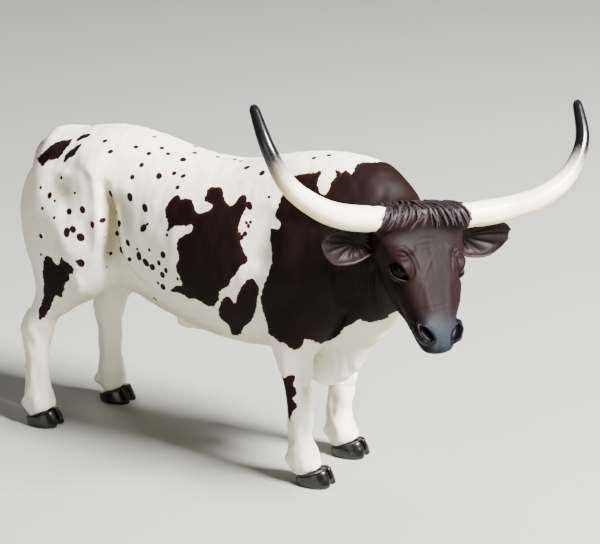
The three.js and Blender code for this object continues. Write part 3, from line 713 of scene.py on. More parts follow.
EYE_WRINKLES = [  # how far from the eye's middle, height, first and last degree from the slit
    (3.3, 0.22, 10, 165), (3.75, -0.3, 15, 160), (4.3, 0.3, 20, 150), (4.9, -0.22, 30, 140),
    (3.4, -0.22, 200, 330), (4.0, 0.2, 205, 325), (4.6, -0.15, 210, 320),
]

for side in (1, -1):
    for marks, width, height in FACE_STROKES:
        line = on_skin([on_face(0.6 + side * out, down, off) for out, down, off in marks])
        clay.stroke(line, width, height)
    outward, slit, over = eye_axes(side)
    for reach, height, first, last in EYE_WRINKLES:
        middle, turns = painted_eye(side) + outward, np.radians(np.linspace(first, last, 7))
        ring = [middle + (slit * math.cos(a) + over * math.sin(a)) * reach for a in turns]
        clay.stroke(on_skin(ring), 0.3, height)
clay.stroke(on_skin([on_face(0.3, down, 4) for down in (4, 7, 10, 13)]), 0.5, -0.07)
for down in (4.6, 5.8, 7.0):
    clay.stroke(on_skin([on_face(x, down + 0.05 * x * x, 4) for x in (-2.6, -0.8, 1.4, 3.2)]), 0.4, -0.05)
print("face modelled")

# %% [markdown]
# ## The unevenness of hand modelling
#
# No stroke of a sculptor's is quite even, and a thumb leaves soft upright lumps on a leg. A cloud
# texture in a displace modifier could add lumps, but they would be as wide as they are high. So a
# grid of random numbers is laid over the same cubes and blurred, more along the height than across
# it. Its values then push the skin a little, more on the legs than on the trunk, and not at all on
# the face.

# %% Uneven clay
UNEVEN_TRUNK, UNEVEN_LEG = 0.05, 0.17
LUMP_WIDTH, LUMP_HEIGHT = 0.75, 1.6


def lumps(across, upright):
    chance = np.random.default_rng(11).normal(size=flesh.values.shape).astype(np.float32)
    chance = blurred(chance, across, VOXEL, axes=(0, 1))
    chance = blurred(chance, upright, VOXEL, axes=(2,))
    return chance / chance.std()


def sampled(values, points, field):
    """A field's value at points between its cubes."""
    place = points / field.voxel - field.start
    low = np.clip(np.floor(place).astype(int), 0, np.array(values.shape) - 2)
    share = place - low
    total = np.zeros(len(points))
    for corner in np.ndindex(2, 2, 2):
        weight = np.prod(np.where(corner, share, 1 - share), axis=1)
        total += weight * values[tuple((low + corner).T)]
    return total


uneven = sampled(lumps(LUMP_WIDTH, LUMP_HEIGHT), clay.points, flesh)
on_legs = ramp(-clay.points[:, 2], -34, -24)
off_face = ramp(-((clay.points - POLL) @ forward), 5, 9)
clay.push += uneven * off_face * blend_by(on_legs, UNEVEN_TRUNK, UNEVEN_LEG)
print("uneven by", (uneven * UNEVEN_LEG).std().round(2), "mm on the legs")

# %% The skin's mesh
EASE = 0.4  # the last millimetres before the rear of the CAD's box


def kept_inside(points):
    """Eases back what would pass the rear of the CAD's box."""
    over = np.maximum(points[:, 1] - (cad_box[1][1] / MM - shift[1] - EASE), 0)
    points[:, 1] -= over - EASE * (1 - np.exp(-over / EASE))
    return points


shaped = kept_inside(clay.points + clay.normals * clay.push[:, None])
skin = mesh_object("skin", shaped, clay.quads.tolist())
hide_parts(*FLESH)
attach(skin, "root")
print("skin of", len(skin.data.polygons), "faces")

# %% [markdown]
# ## The painted patches and spots
#
# The coat is cream, and the dark patches and spots are brushed over it. A patch could be a second
# mesh or a mask made of noise, but a painter's patch has an outline of its own, and a raised mesh
# would show an edge. So each point of the skin stores how far inside a patch it lies, in
# millimetres, and the material turns that distance into a sharp painted edge.
#
# The outlines on the side that the photograph shows are named by its pixels and cast on to the
# skin. They are then unrolled: a place on the trunk becomes its distance along the spine and its
# distance round the barrel. The other side isn't in the photograph, so its outlines are made up
# in the same style, straight in unrolled millimetres.

# %% Unrolling the trunk and the legs
BARREL_HEIGHT, BARREL_RADIUS, LEG_RADIUS = 52, 20, 3.5
FAR_OUTSIDE = -99.0


def unrolled(points):
    """Along the spine, and round the barrel from the top: the animal's left is positive."""
    around = np.arctan2(points[:, 0], points[:, 2] - BARREL_HEIGHT) * BARREL_RADIUS
    return np.column_stack([points[:, 1], around])


def unrolled_leg(points, leg):
    x, y = LEG_MIDDLES[leg]
    around = np.arctan2((points[:, 0] - x) * math.copysign(1, x), y - points[:, 1]) * LEG_RADIUS
    return np.column_stack([around, points[:, 2]])


def inside(places, outline, steps=4):
    """How far each place lies inside a closed outline. Outside, it is negative."""
    outline = smooth_line(outline, steps, closed=True)
    result = np.full(len(places), FAR_OUTSIDE)
    low, high = outline.min(0) - 3, outline.max(0) + 3
    close = np.flatnonzero(((places > low) & (places < high)).all(1))
    near = places[close]
    gap, within = np.full(len(near), 1e9), np.zeros(len(near), bool)
    for a, b in zip(outline, np.roll(outline, -1, axis=0)):
        d = b - a
        t = np.clip((near - a) @ d / max(d @ d, 1e-9), 0, 1)
        gap = np.minimum(gap, np.linalg.norm(near - a - t[:, None] * d, axis=1))
        crossing = (a[1] > near[:, 1]) != (b[1] > near[:, 1])
        if d[1]:
            within ^= crossing & (near[:, 0] < a[0] + d[0] * (near[:, 1] - a[1]) / d[1])
    result[close] = np.where(within, gap, -gap)
    return result


body_places = unrolled(shaped)
dark = np.full(len(shaped), FAR_OUTSIDE)
print("the barrel unrolls to", body_places.min(0).round(), body_places.max(0).round())

# %% Patches that the photograph shows
FLANK_PATCH = [
    (165, 213), (167, 204), (172, 198), (178, 194), (181, 199), (186, 198), (192, 199), (194, 206),
    (197, 213), (203, 212), (211, 210), (213, 206), (209, 203), (204, 201), (206, 195), (209, 188),
    (216, 187), (222, 189), (224, 196), (228, 204), (234, 203), (240, 196), (246, 194), (247, 202),
    (245, 210), (241, 218), (238, 228), (240, 240), (244, 252), (247, 260), (240, 268), (234, 276),
    (228, 286), (220, 292), (218, 301), (209, 307), (203, 303), (196, 299), (190, 300), (184, 295),
    (177, 293), (170, 291), (175, 287), (182, 284), (179, 276), (176, 267), (179, 258), (177, 249),
    (178, 240), (184, 235), (192, 231), (192, 225), (184, 226), (175, 227), (166, 232), (168, 225),
]
LOWER_PATCH = [
    (225, 297), (230, 297), (234, 303), (238, 294), (244, 284), (252, 278), (259, 288), (257, 299),
    (255, 312), (250, 322), (243, 329), (241, 334), (232, 335), (229, 327), (222, 320), (218, 309),
    (221, 303),
]
SADDLE_PATCH = [
    (67, 139), (72, 138), (70, 143), (64, 149), (60, 155), (54, 159), (48, 161), (42, 166), (33, 165),
    (37, 158), (44, 152), (50, 146), (58, 141),
]
SMALL_SADDLE_PATCHES = [
    [(72, 148), (78, 144), (81, 145), (78, 150), (75, 154), (69, 158), (63, 161), (64, 156), (68, 151)],
    [(78, 137), (83, 134), (91, 134), (88, 137), (82, 139), (76, 141)],
]
THIGH_PATCH = [
    (44, 258), (47, 256), (51, 259), (54, 264), (58, 266), (59, 262), (61, 257), (64, 260), (69, 263),
    (73, 268), (73, 273), (69, 276), (68, 282), (64, 286), (63, 293), (60, 299), (56, 296), (53, 301),
    (50, 309), (45, 316), (39, 320), (40, 309), (43, 295), (43, 280),
]
SHOULDER_EDGE = [  # from the belly up the shoulder's rear edge to the spine
    (389, 317), (379, 321), (368, 323), (361, 319), (352, 324), (345, 326), (341, 332), (334, 340),
    (326, 344), (317, 343), (311, 341), (305, 340), (302, 347), (296, 352), (290, 348), (284, 343),
    (278, 342), (272, 337), (268, 333), (267, 322), (262, 309), (261, 296), (264, 284), (269, 272),
    (272, 257), (270, 244), (269, 234), (270, 227), (278, 229), (280, 222), (276, 217), (274, 213),
    (278, 206), (280, 198), (285, 189), (290, 179), (296, 176), (303, 174), (312, 173), (322, 171),
    (320, 177), (317, 182), (319, 190), (325, 196), (329, 189), (331, 182), (335, 178), (336, 171),
    (341, 173), (346, 170), (352, 174), (355, 168), (358, 164), (367, 162), (376, 162), (384, 162),
]
FORELEG_PATCH = [
    (281, 376), (286, 377), (291, 375), (295, 376), (294, 383), (297, 391), (295, 398), (298, 407),
    (294, 411), (291, 417), (290, 423), (288, 416), (285, 409), (284, 399), (282, 388),
]
for pixels in [FLANK_PATCH, LOWER_PATCH, SADDLE_PATCH, THIGH_PATCH] + SMALL_SADDLE_PATCHES:
    dark = np.maximum(dark, inside(body_places, unrolled(seen(pixels))))
on_leg = (shaped[:, 0] < -3) & (shaped[:, 2] < 34) & (shaped[:, 1] < -20)
leg_outline = unrolled_leg(seen(FORELEG_PATCH), "foreleg_right")
patch = inside(unrolled_leg(shaped, "foreleg_right"), leg_outline)
dark = np.maximum(dark, np.where(on_leg, patch, FAR_OUTSIDE))
shoulder_edge = unrolled(seen(SHOULDER_EDGE))
print("shoulder edge runs", shoulder_edge[[0, 20, 40, -1]].round(1).tolist())

# %% Patches on the far side
# Along the spine, and round the barrel from the top, in millimetres.
FAR_SHOULDER_EDGE = [
    (-47, 6), (-41, 8), (-37, 13), (-30, 15), (-27, 21), (-29.5, 24), (-24, 27), (-19.5, 26.5),
    (-18.5, 30), (-23, 33), (-23.5, 39), (-29, 42.5), (-31, 46), (-36, 44.5), (-41, 47.5), (-52, 47),
    (-57, 50),
]
FAR_PATCHES = [
    [(-15, 17), (-11.5, 13), (-6, 14.5), (-4.5, 11.5), (-0.5, 12), (1, 15.5), (5.5, 15), (7.5, 19),
     (4, 22.5), (7, 27.5), (3.5, 31), (2.5, 37), (-2, 41), (-5, 38), (-9.5, 41.5), (-14.5, 37),
     (-12.5, 31.5), (-17.5, 27), (-14.5, 22.5)],
    [(10, 27), (14.5, 24.5), (16.5, 29), (15.5, 34.5), (17, 37.5), (12, 38.5), (9.5, 33)],
    [(11, 5.5), (17, 3.5), (24.5, 5.5), (23, 9.5), (17.5, 8.5), (12.5, 10)],
    [(35, 9.5), (41, 7), (43.5, 11.5), (41, 16.5), (42, 21), (37, 20), (35.5, 15)],
    [(28, 23.5), (33.5, 21.5), (34.5, 26.5), (38, 30), (36, 33.5), (34, 40), (30.5, 43), (28.5, 37),
     (24.5, 33), (27.5, 29)],
    [(-9.5, 47.5), (-4, 45), (1.5, 48), (0, 52), (-4, 51.5), (-8, 53)],
]
FAR_LEG_PATCHES = {
    "foreleg_left": [
        (2, 27), (5, 28), (8, 26), (9, 22), (7, 18), (8, 14), (6, 12), (5, 16), (3, 20), (1, 23),
    ],
    "hindleg_left": [(3, 25), (6, 27), (9, 24), (9, 19), (7, 15), (6, 19), (4, 21)],
}

LOBE_STEP, LOBE_HEIGHT, LOBE_SPREAD = 0.7, 0.42, 1.3
lobe_rng = np.random.default_rng(5)


def lobed(line):
    """A simple outline with small lobes and bays of uneven size, as a loaded brush leaves."""
    line = smooth_line(np.asarray(line, float), 10)
    length = np.concatenate([[0], np.cumsum(np.linalg.norm(np.diff(line, axis=0), axis=1))])
    at = np.arange(0, length[-1], LOBE_STEP)
    points = np.column_stack([np.interp(at, length, line[:, k]) for k in (0, 1)])
    ways = np.gradient(points, axis=0)
    across = ways[:, ::-1] * (1, -1) / np.linalg.norm(ways, axis=1)[:, None]
    bell = np.exp(-0.5 * (np.arange(-4, 5) / LOBE_SPREAD) ** 2)
    chance = np.convolve(lobe_rng.normal(size=len(at)), bell, "same")
    lobes = LOBE_HEIGHT * chance * ramp(at, 0, 2) * ramp(length[-1] - at, 0, 2)
    return points + across * lobes[:, None]


whole_shoulder = np.vstack([shoulder_edge, lobed(FAR_SHOULDER_EDGE)])
for outline in [whole_shoulder] + [lobed(patch + patch[:1]) for patch in FAR_PATCHES]:
    dark = np.maximum(dark, inside(body_places, outline, 2))
for leg, outline in FAR_LEG_PATCHES.items():
    x, y = LEG_MIDDLES[leg]
    on_leg = (shaped[:, 0] > 3) & (shaped[:, 2] < 33) & (abs(shaped[:, 1] - y) < 12)
    patch = inside(unrolled_leg(shaped, leg), outline)
    dark = np.maximum(dark, np.where(on_leg, patch, FAR_OUTSIDE))
print("dark paint covers", round(100 * (dark > 0).mean()), "% of the trunk and legs")

# %% The dark head and neck
# They are dark all over, down to the white dewlap.
DEWLAP_TOP, DEWLAP_FRONT, JAW_REAR, JAW_LOW = 44.6, -53.5, -6.2, 38
from_poll = shaped - POLL
ahead, down, out = (from_poll @ way for way in (forward, down_face, out_of_face))
throat = shaped[:, 2] - DEWLAP_TOP - 0.5 * np.sin(shaped[:, 0] * 1.1)
dark = np.maximum(dark, np.minimum(throat, DEWLAP_FRONT - shaped[:, 1]))
dark = np.maximum(dark, np.minimum(ahead - JAW_REAR, shaped[:, 2] - JAW_LOW))
print("dark paint covers", round(100 * (dark > 0).mean()), "% of the skin's points")

# %% Spots
# Each spot is a dab of the brush's tip, so it is round or a little oval.
SPOTS = {0.74: [
    (183, 159.5), (247, 167.5), (159, 176), (262, 173), (129, 197), (69.5, 211.5), (83, 209.5),
    (144.5, 208), (143, 228), (73.5, 229), (67.5, 232), (119, 252.5), (139, 256), (163, 255),
    (146, 262.5), (152.5, 267), (162.5, 275), (163, 287), (249, 205.5),
], 0.95: [(81, 237), (81, 263)], 0.56: [
    (154.5, 137), (105, 141), (136, 147), (110.5, 151.5), (162, 148), (168, 153.5), (149, 153.5),
    (195, 153), (217.5, 157), (235, 159.5), (141.5, 165), (132, 177), (174, 173), (183, 176),
    (177.5, 187.5), (48, 195.5), (108, 194), (112, 213.5), (101.5, 221), (93, 224), (116, 225),
    (112.5, 236), (41, 236), (127, 243.5), (130, 259), (159, 263), (166, 270.5), (155, 299),
    (244.5, 234), (241, 237.5), (329, 155), (314, 158), (241, 161),
], 0.38: [
    (60.5, 177.5), (40, 187.5), (74, 193), (53.5, 201), (42, 208.5), (55, 217.5), (147.5, 224),
    (166.5, 235), (137, 249), (149, 250), (109, 256), (158, 283), (177.5, 279), (246, 222.5),
    (250, 222), (248, 226), (239, 234), (77, 261.5), (269, 197),
]}
rng = np.random.default_rng(7)
spot_places, spot_sizes = [], []
for size, pixels in SPOTS.items():
    found = seen(pixels)
    spot_places += list(found)
    spot_sizes += [size] * len(found)

FAR_SIZES, FAR_SHARES = [0.4, 0.55, 0.7, 0.85, 1.0], [0.28, 0.25, 0.22, 0.16, 0.09]
MOST_SPOTS, SPOT_SWELL = 175, 1.1
LEAST_GAP, MORE_GAP = 2.0, 2.4  # between two spots
REAR_SHARE, FRONT_SHARE = 0.75, 0.3  # there are fewer ahead
on_far_side = (shaped[:, 0] > 3) & (shaped[:, 2] > 36) & (shaped[:, 1] > -24)
for k in rng.choice(np.flatnonzero(on_far_side & (dark < -1.4)), 900):
    place, size = clay.points[k], rng.choice(FAR_SIZES, p=FAR_SHARES)
    crowd = min(np.linalg.norm(place - p) for p in spot_places)
    wanted = REAR_SHARE if place[1] > 6 else FRONT_SHARE
    roomy = crowd > LEAST_GAP + MORE_GAP * rng.random()
    if roomy and rng.random() < wanted and len(spot_places) < MOST_SPOTS:
        spot_places.append(place)
        spot_sizes.append(size)

spot = np.full(len(shaped), FAR_OUTSIDE)
for place, size in zip(spot_places, spot_sizes):
    close = np.flatnonzero((abs(clay.points - place) < 2.6).all(1))
    away = clay.points[close] - place
    lean = unit((0, rng.normal(0, 0.5), 1))
    longer = 1 + 0.6 * rng.random() ** 2
    gap = np.sqrt(np.maximum((away ** 2).sum(1) - (1 - longer ** -2) * (away @ lean) ** 2, 0))
    spot[close] = np.maximum(spot[close], SPOT_SWELL * size - gap)
print(len(spot_places), "spots")

# %% [markdown]
# ## Hollows and painted shade
#
# The folds and the undersides are painted olive and darker: partly a thin wash that the painter let
# run into the folds, and partly painted shade, because the light reaches them less. A blurred copy
# of the distance field tells where the folds are: a place in a hollow has more of the body round it,
# so the blurred distance there is lower than on a ridge.

# %% Hollows, painted shade, and the attributes that the paint reads


def set_attribute(made, name, values):
    attribute = made.data.attributes.new(name, "FLOAT", "POINT")
    attribute.data.foreach_set("value", np.asarray(values, np.float32))


# Olive strokes in the folds of the trunk, partly the painter's wash and partly painted shade.
WASH_AND_SHADE_STROKES = [  # pixels, half width in millimetres, strength
    ([(103, 178), (106, 200), (108, 225), (107, 250), (104, 280)], 2.0, 0.3),
    ([(103, 186), (109, 210), (112, 235), (113, 260), (112, 282)], 4.0, 0.25),
    ([(106, 190), (112, 222), (119, 248), (132, 270), (152, 290)], 2.2, 0.15),
    ([(54, 184), (60, 192), (66, 204)], 4.0, 0.2),
    ([(62, 236), (68, 250), (84, 262), (92, 280)], 4.5, 0.35),
    ([(268, 210), (264, 235), (258, 262)], 4.5, 0.4),
    ([(120, 286), (150, 300), (190, 322), (240, 338)], 3.5, 0.45),
    ([(46, 145), (40, 152)], 3.0, 0.4), ([(315, 352), (322, 366)], 2.2, 0.05),
    ([(88, 292), (74, 304)], 3.0, 0.4),
]
# Painted shade: olive on the faces that look down, under the belly, and not on the legs.
facing_down = ramp(-normals_of(shaped, clay.quads)[:, 2], -0.15, 0.9)
wash_and_shade = 0.8 * facing_down * ramp(shaped[:, 2], 18, 34)  # under the belly, and not on the legs
for pixels, width, strength in WASH_AND_SHADE_STROKES:
    for line in (seen(pixels), mirrored(seen(pixels))):
        clay.stroke(line, width, strength, onto=wash_and_shade)
# On each leg: painted shade down both rear edges, and olive at the joints and round the top of the hoof,
# partly wash and partly painted shade.
for leg in LEG_MIDDLES:
    for turn in (125, -125):
        clay.stroke(leg_line(leg, np.linspace(6, 24, 7), turn), 1.3, 0.45, onto=wash_and_shade)
    clay.stroke(leg_line(leg, 3.4, range(-160, 161, 40)), 0.9, 0.5, onto=wash_and_shade, fade=0)
    for height, turn in ((7.5, 0), (18, 150), (26, 180)):
        clay.dab(leg_mark(leg, height, turn), 1.6, 0.35, onto=wash_and_shade)

# How deep in a fold each point lies, with the pushed-in strokes counted as folds: the paint turns it into
# painted shade.
hollow = np.clip(-sampled(softer, shaped, flesh) / 0.9 + 0.15, -1, 1)
hollow -= 0.5 * np.clip(clay.push, -0.8, 0.8)
# Painted shade: the lids are darkest where they meet the ball.
for side in (1, -1):  # the lids are darkest where they meet the ball
    hollow += 1.1 * ramp(-np.linalg.norm(shaped - painted_eye(side), axis=1), -3.1, -2.4)
nostril_gap = np.full(len(shaped), 9.0)
for side in (1, -1):
    line = np.array([on_face(side * x + 0.25, y, z) for x, y, z in NOSTRIL_PATH])
    nostril_gap = np.minimum(nostril_gap, line_distance(shaped, line)[0])
tail_root = np.linalg.norm((shaped - (0, 43, 69)) / (5, 4, 5), axis=1)

PAINT = {
    "dark": np.clip(dark, -9, 9),
    "spot": np.clip(spot, -9, 9),
    "hollow": hollow,
    "wash_and_shade": np.clip(wash_and_shade, 0, 1),
    "specks": ramp(shaped[:, 1], -14, 14) * ramp(shaped[:, 2], 34, 42) - 1,
    "face": ramp(ahead, -7.5, -3.5),
    "muzzle": ramp(down, 20.0, 26.5) * ramp(ahead, 0, 3),
    # The muzzle's top and front, away from the nostrils, which are painted blue-grey: partly the paint's
    # colour and partly a painted sheen.
    "nose": ramp(down, 19.5, 28.5) * ramp(out, 0.9, 3.3) * ramp(ahead, 0, 3) * ramp(nostril_gap, 1.2, 2.0),
    "pink": ramp(-tail_root, -1.6, -0.8),
}
for name, values in PAINT.items():
    set_attribute(skin, name, values)
print("hollows from", hollow.min().round(2), "to", hollow.max().round(2))

# %% [markdown]
# ## The coat's paint
#
# The figure is soft PVC, moulded, then painted by hand with matt and satin acrylics. Matt paint on
# plastic has an IOR near 1.5 and a roughness near a half. The cream has a faint mottle and turns
# olive in the hollows and underneath, partly where the wash gathers and partly as painted shade.
# The dark brown is thinner at its edges, where it shows a little red. It is darkened in the hollows
# with painted shade, and lighter on the raised forms, partly where a dry brush has caught them and
# partly as painted highlight. The muzzle's top and front are blue-grey, partly the paint's colour
# and partly a painted sheen.
#
# The pattern sizes come from the real thing: a patch's edge wobbles over one or two millimetres,
# brush marks are about half a millimetre wide, and the cream's mottle is 7 mm across.

# %% Nodes


def add_node(tree, kind, settings=None, **links):
    """Adds a shader node. A link is a socket; any other value is set on the socket."""
    node = tree.nodes.new(kind)
    for name, value in (settings or {}).items():
        setattr(node, name, value)
    for name, value in links.items():
        key = int(name[1:]) if name[0] == "i" and name[1:].isdigit() else name.replace("_", " ")
        if isinstance(value, bpy.types.NodeSocket):
            tree.links.new(value, node.inputs[key])
        else:
            node.inputs[key].default_value = value
    return node


PLUS, TIMES, LARGER = {"operation": "ADD"}, {"operation": "MULTIPLY"}, {"operation": "MAXIMUM"}
TIMES_PLUS = {"operation": "MULTIPLY_ADD"}
COLOURS, SMOOTH = {"data_type": "RGBA"}, {"interpolation_type": "SMOOTHSTEP"}
VINYL_IOR = 1.5


def start_paint(name, attributes):
    """A material with its node tree and shader, the place on the object, and what its points store."""
    made = bpy.data.materials.new(name)
    made.use_nodes = True
    tree = made.node_tree
    shader = tree.nodes["Principled BSDF"]
    shader.inputs["IOR"].default_value = VINYL_IOR
    place = add_node(tree, "ShaderNodeTexCoord").outputs["Object"]
    stored = [add_node(tree, "ShaderNodeAttribute", {"attribute_name": name}).outputs["Fac"]
              for name in attributes]
    return made, tree, shader, place, stored


def per_mm(size):
    """The texture scale at which a lump is so many millimetres across."""
    return 1 / (size * MM)


print("a lump 1 mm across has the texture scale", per_mm(1.0))

# %% Painted vinyl for the coat
coat, tree, shader, place, stored = start_paint("satin vinyl, hand-painted, with painted shade and highlight", PAINT)
read = dict(zip(PAINT, stored))
wobble, mottle, bristle, rare = (
    add_node(tree, "ShaderNodeTexNoise", Vector=place, Scale=per_mm(size), Detail=detail).outputs["Fac"]
    for size, detail in ((1.7, 2.0), (7.0, 4.0), (0.8, 3.0), (5.0, 2.0)))

edge = add_node(tree, "ShaderNodeMath", TIMES_PLUS, i0=wobble, i1=1.0, i2=-0.5).outputs[0]
edge = add_node(tree, "ShaderNodeMath", TIMES_PLUS, i0=bristle, i1=0.7, i2=edge).outputs[0]
edge = add_node(tree, "ShaderNodeMath", PLUS, i0=edge, i1=-0.35).outputs[0]
in_patch = add_node(tree, "ShaderNodeMath", PLUS, i0=read["dark"], i1=edge).outputs[0]
in_spot = add_node(tree, "ShaderNodeMath", TIMES_PLUS, i0=edge, i1=0.25, i2=read["spot"]).outputs[0]

# A speck lies at the middle of some of a Voronoi pattern's cells.
in_speck = add_node(tree, "ShaderNodeTexVoronoi", Vector=place, Scale=per_mm(3.2)).outputs["Distance"]
in_speck = add_node(tree, "ShaderNodeMath", TIMES_PLUS, i0=in_speck, i1=-3.2, i2=0.28).outputs[0]
rare = add_node(tree, "ShaderNodeMath", TIMES_PLUS, i0=rare, i1=1.2, i2=-0.72).outputs[0]
for share in (rare, read["specks"]):
    in_speck = add_node(tree, "ShaderNodeMath", PLUS, i0=in_speck, i1=share).outputs[0]

depth = in_patch
for other in (in_spot, in_speck):
    depth = add_node(tree, "ShaderNodeMath", LARGER, i0=depth, i1=other).outputs[0]
painted = add_node(tree, "ShaderNodeMapRange", SMOOTH, i0=depth, i1=-0.05, i2=0.05).outputs[0]
thick = add_node(tree, "ShaderNodeMapRange", i0=depth, i1=0.0, i2=0.9).outputs[0]
print("paint masks of", len(tree.nodes), "nodes")

# %% Colours of the coat
# The olive is partly the painter's wash and partly painted shade, in the hollows and underneath.
CREAM, CREAM_SHADE, OLIVE_WASH_AND_SHADE, PINK = "#f3eee2", "#e4dcc6", "#8b8356", "#c98c75"
# The darkest brown is painted shade in the hollows.
DARK, DARK_THIN, PAINTED_HOLLOW_SHADE = "#130908", "#27130f", "#040202"
# On the face, the lighter brown of the raised forms is partly a dry brush's and partly painted highlight,
# and the nose's blue-grey is partly paint and partly a painted sheen.
FACE, FACE_DRY_BRUSH_AND_HIGHLIGHT, MUZZLE, NOSE_PAINT_AND_SHEEN = "#0e0706", "#160b0b", "#080608", "#24272d"

# Painted shade deepens towards the hollows, and painted highlight, with the dry brush, lightens the raised
# forms.
hollow_shade, dry_brush_and_highlight = (
    add_node(tree, "ShaderNodeMapRange", SMOOTH, i0=read["hollow"], i1=low, i2=high).outputs[0]
    for low, high in ((0.2, 1.8), (0.15, -0.5)))
# The olive share: the wash strokes, the painted shade underneath, and painted shade in every hollow.
washed_and_shaded = add_node(tree, "ShaderNodeMath", PLUS, i0=read["wash_and_shade"], i1=hollow_shade).outputs[0]
washed_and_shaded = add_node(tree, "ShaderNodeMath", TIMES | {"use_clamp": True}, i0=washed_and_shaded, i1=0.6).outputs[0]
pinked = add_node(tree, "ShaderNodeMath", TIMES, i0=read["pink"], i1=0.55).outputs[0]

# Coats of paint, painted shade and highlight among them, one over the other: how much of each shows, and
# its colour.
LAYERS = {
    "cream": (CREAM, ((mottle, CREAM_SHADE), (washed_and_shaded, OLIVE_WASH_AND_SHADE), (pinked, PINK))),
    "brown": (DARK_THIN, ((thick, DARK), (hollow_shade, PAINTED_HOLLOW_SHADE))),
    "face": (FACE, (
        (dry_brush_and_highlight, FACE_DRY_BRUSH_AND_HIGHLIGHT), (hollow_shade, PAINTED_HOLLOW_SHADE), (read["muzzle"], MUZZLE), (read["nose"], NOSE_PAINT_AND_SHEEN))),
}
mixed = {}
for name, (first, layers) in LAYERS.items():
    mixed[name] = hex_linear(first)
    for share, colour in layers:
        layer = add_node(tree, "ShaderNodeMix", COLOURS, i0=share, i6=mixed[name], i7=hex_linear(colour))
        mixed[name] = layer.outputs[2]
brown, face_paint = mixed["brown"], mixed["face"]
brown = add_node(tree, "ShaderNodeMix", COLOURS, i0=read["face"], i6=brown, i7=face_paint).outputs[2]
paint = add_node(tree, "ShaderNodeMix", COLOURS, i0=painted, i6=mixed["cream"], i7=brown).outputs[2]
tree.links.new(paint, shader.inputs["Base Color"])
print("colours mixed in", len(tree.nodes), "nodes")

# %% Sheen and brush marks of the coat
rough = add_node(tree, "ShaderNodeMapRange", i0=painted, i3=0.56, i4=0.5).outputs[0]
for share, more in ((read["muzzle"], -0.1), (mottle, 0.12)):
    rough = add_node(tree, "ShaderNodeMath", TIMES_PLUS, i0=share, i1=more, i2=rough).outputs[0]
tree.links.new(rough, shader.inputs["Roughness"])
shader.inputs["Specular IOR Level"].default_value = 0.06

streaks = add_node(tree, "ShaderNodeMapping", Vector=place, Scale=(1.0, 0.35, 0.6)).outputs[0]
brushed = add_node(tree, "ShaderNodeTexNoise", Vector=streaks, Scale=per_mm(0.55), Detail=3.0)
brushed = brushed.outputs["Fac"]
relief = add_node(tree, "ShaderNodeMath", TIMES_PLUS, i0=painted, i1=0.35, i2=brushed).outputs[0]
relief = add_node(tree, "ShaderNodeBump", Height=relief, Strength=0.35, Distance=0.08 * MM).outputs[0]
tree.links.new(relief, shader.inputs["Normal"])
skin.data.materials.append(coat)
print("coat of", len(tree.nodes), "nodes")

# %% [markdown]
# ## Horns
#
# A horn is one long taper that leaves the head level and sweeps up. A curve object with a bevel
# would do for the shape, but a mesh made ring by ring can also carry how far along each point
# is, which the paint needs for its fade to black, and can have the faint grooves that run along
# a horn. The first rings lie inside the head, so no gap shows at the root.

# %% Horn meshes
HORN_RADIUS = 2.9
HORN_PATH = [  # out from the poll's middle, forward and up
    (7.2, -0.3, -0.6), (9.1, -0.2, -0.4), (12.6, 0, -0.2), (21.1, 0.5, 0.85), (29.4, 2.6, 3.9),
    (36.7, 2.4, 8.8), (41.2, 0.2, 16.2), (42.7, -5.8, 24.7),
]
HORN_TAPER = [(0, 0.93), (0.15, 1), (0.3, 0.94), (0.55, 0.77), (0.72, 0.62), (0.87, 0.51), (1, 0.36)]
ROOT_END, TIP_LENGTH = 0.03, 0.035  # shares of the horn's length
RINGS, SIDES = 170, 48


def along_line(line, count):
    """Points at even steps along a line, and the line's direction at each."""
    steps = np.linalg.norm(np.diff(line, axis=0), axis=1)
    length = np.concatenate([[0], np.cumsum(steps)])
    at = np.linspace(0, length[-1], count)
    points = np.column_stack([np.interp(at, length, line[:, k]) for k in range(3)])
    ways = np.gradient(points, axis=0)
    return points, ways / np.linalg.norm(ways, axis=1)[:, None]


def ring_mesh(name, rings):
    """A closed mesh through rings of points, with a fan at each end."""
    rings = np.asarray(rings)
    count, sides = rings.shape[:2]
    points = np.vstack([rings.reshape(-1, 3), rings[0].mean(0), rings[-1].mean(0)])
    end, first, last = (count - 1) * sides, count * sides, count * sides + 1
    fans = [(first, (i + 1) % sides, i) for i in range(sides)]
    fans += [(last, end + i, end + (i + 1) % sides) for i in range(sides)]
    return mesh_object(name, points, ring_quads(count, sides).tolist() + fans)


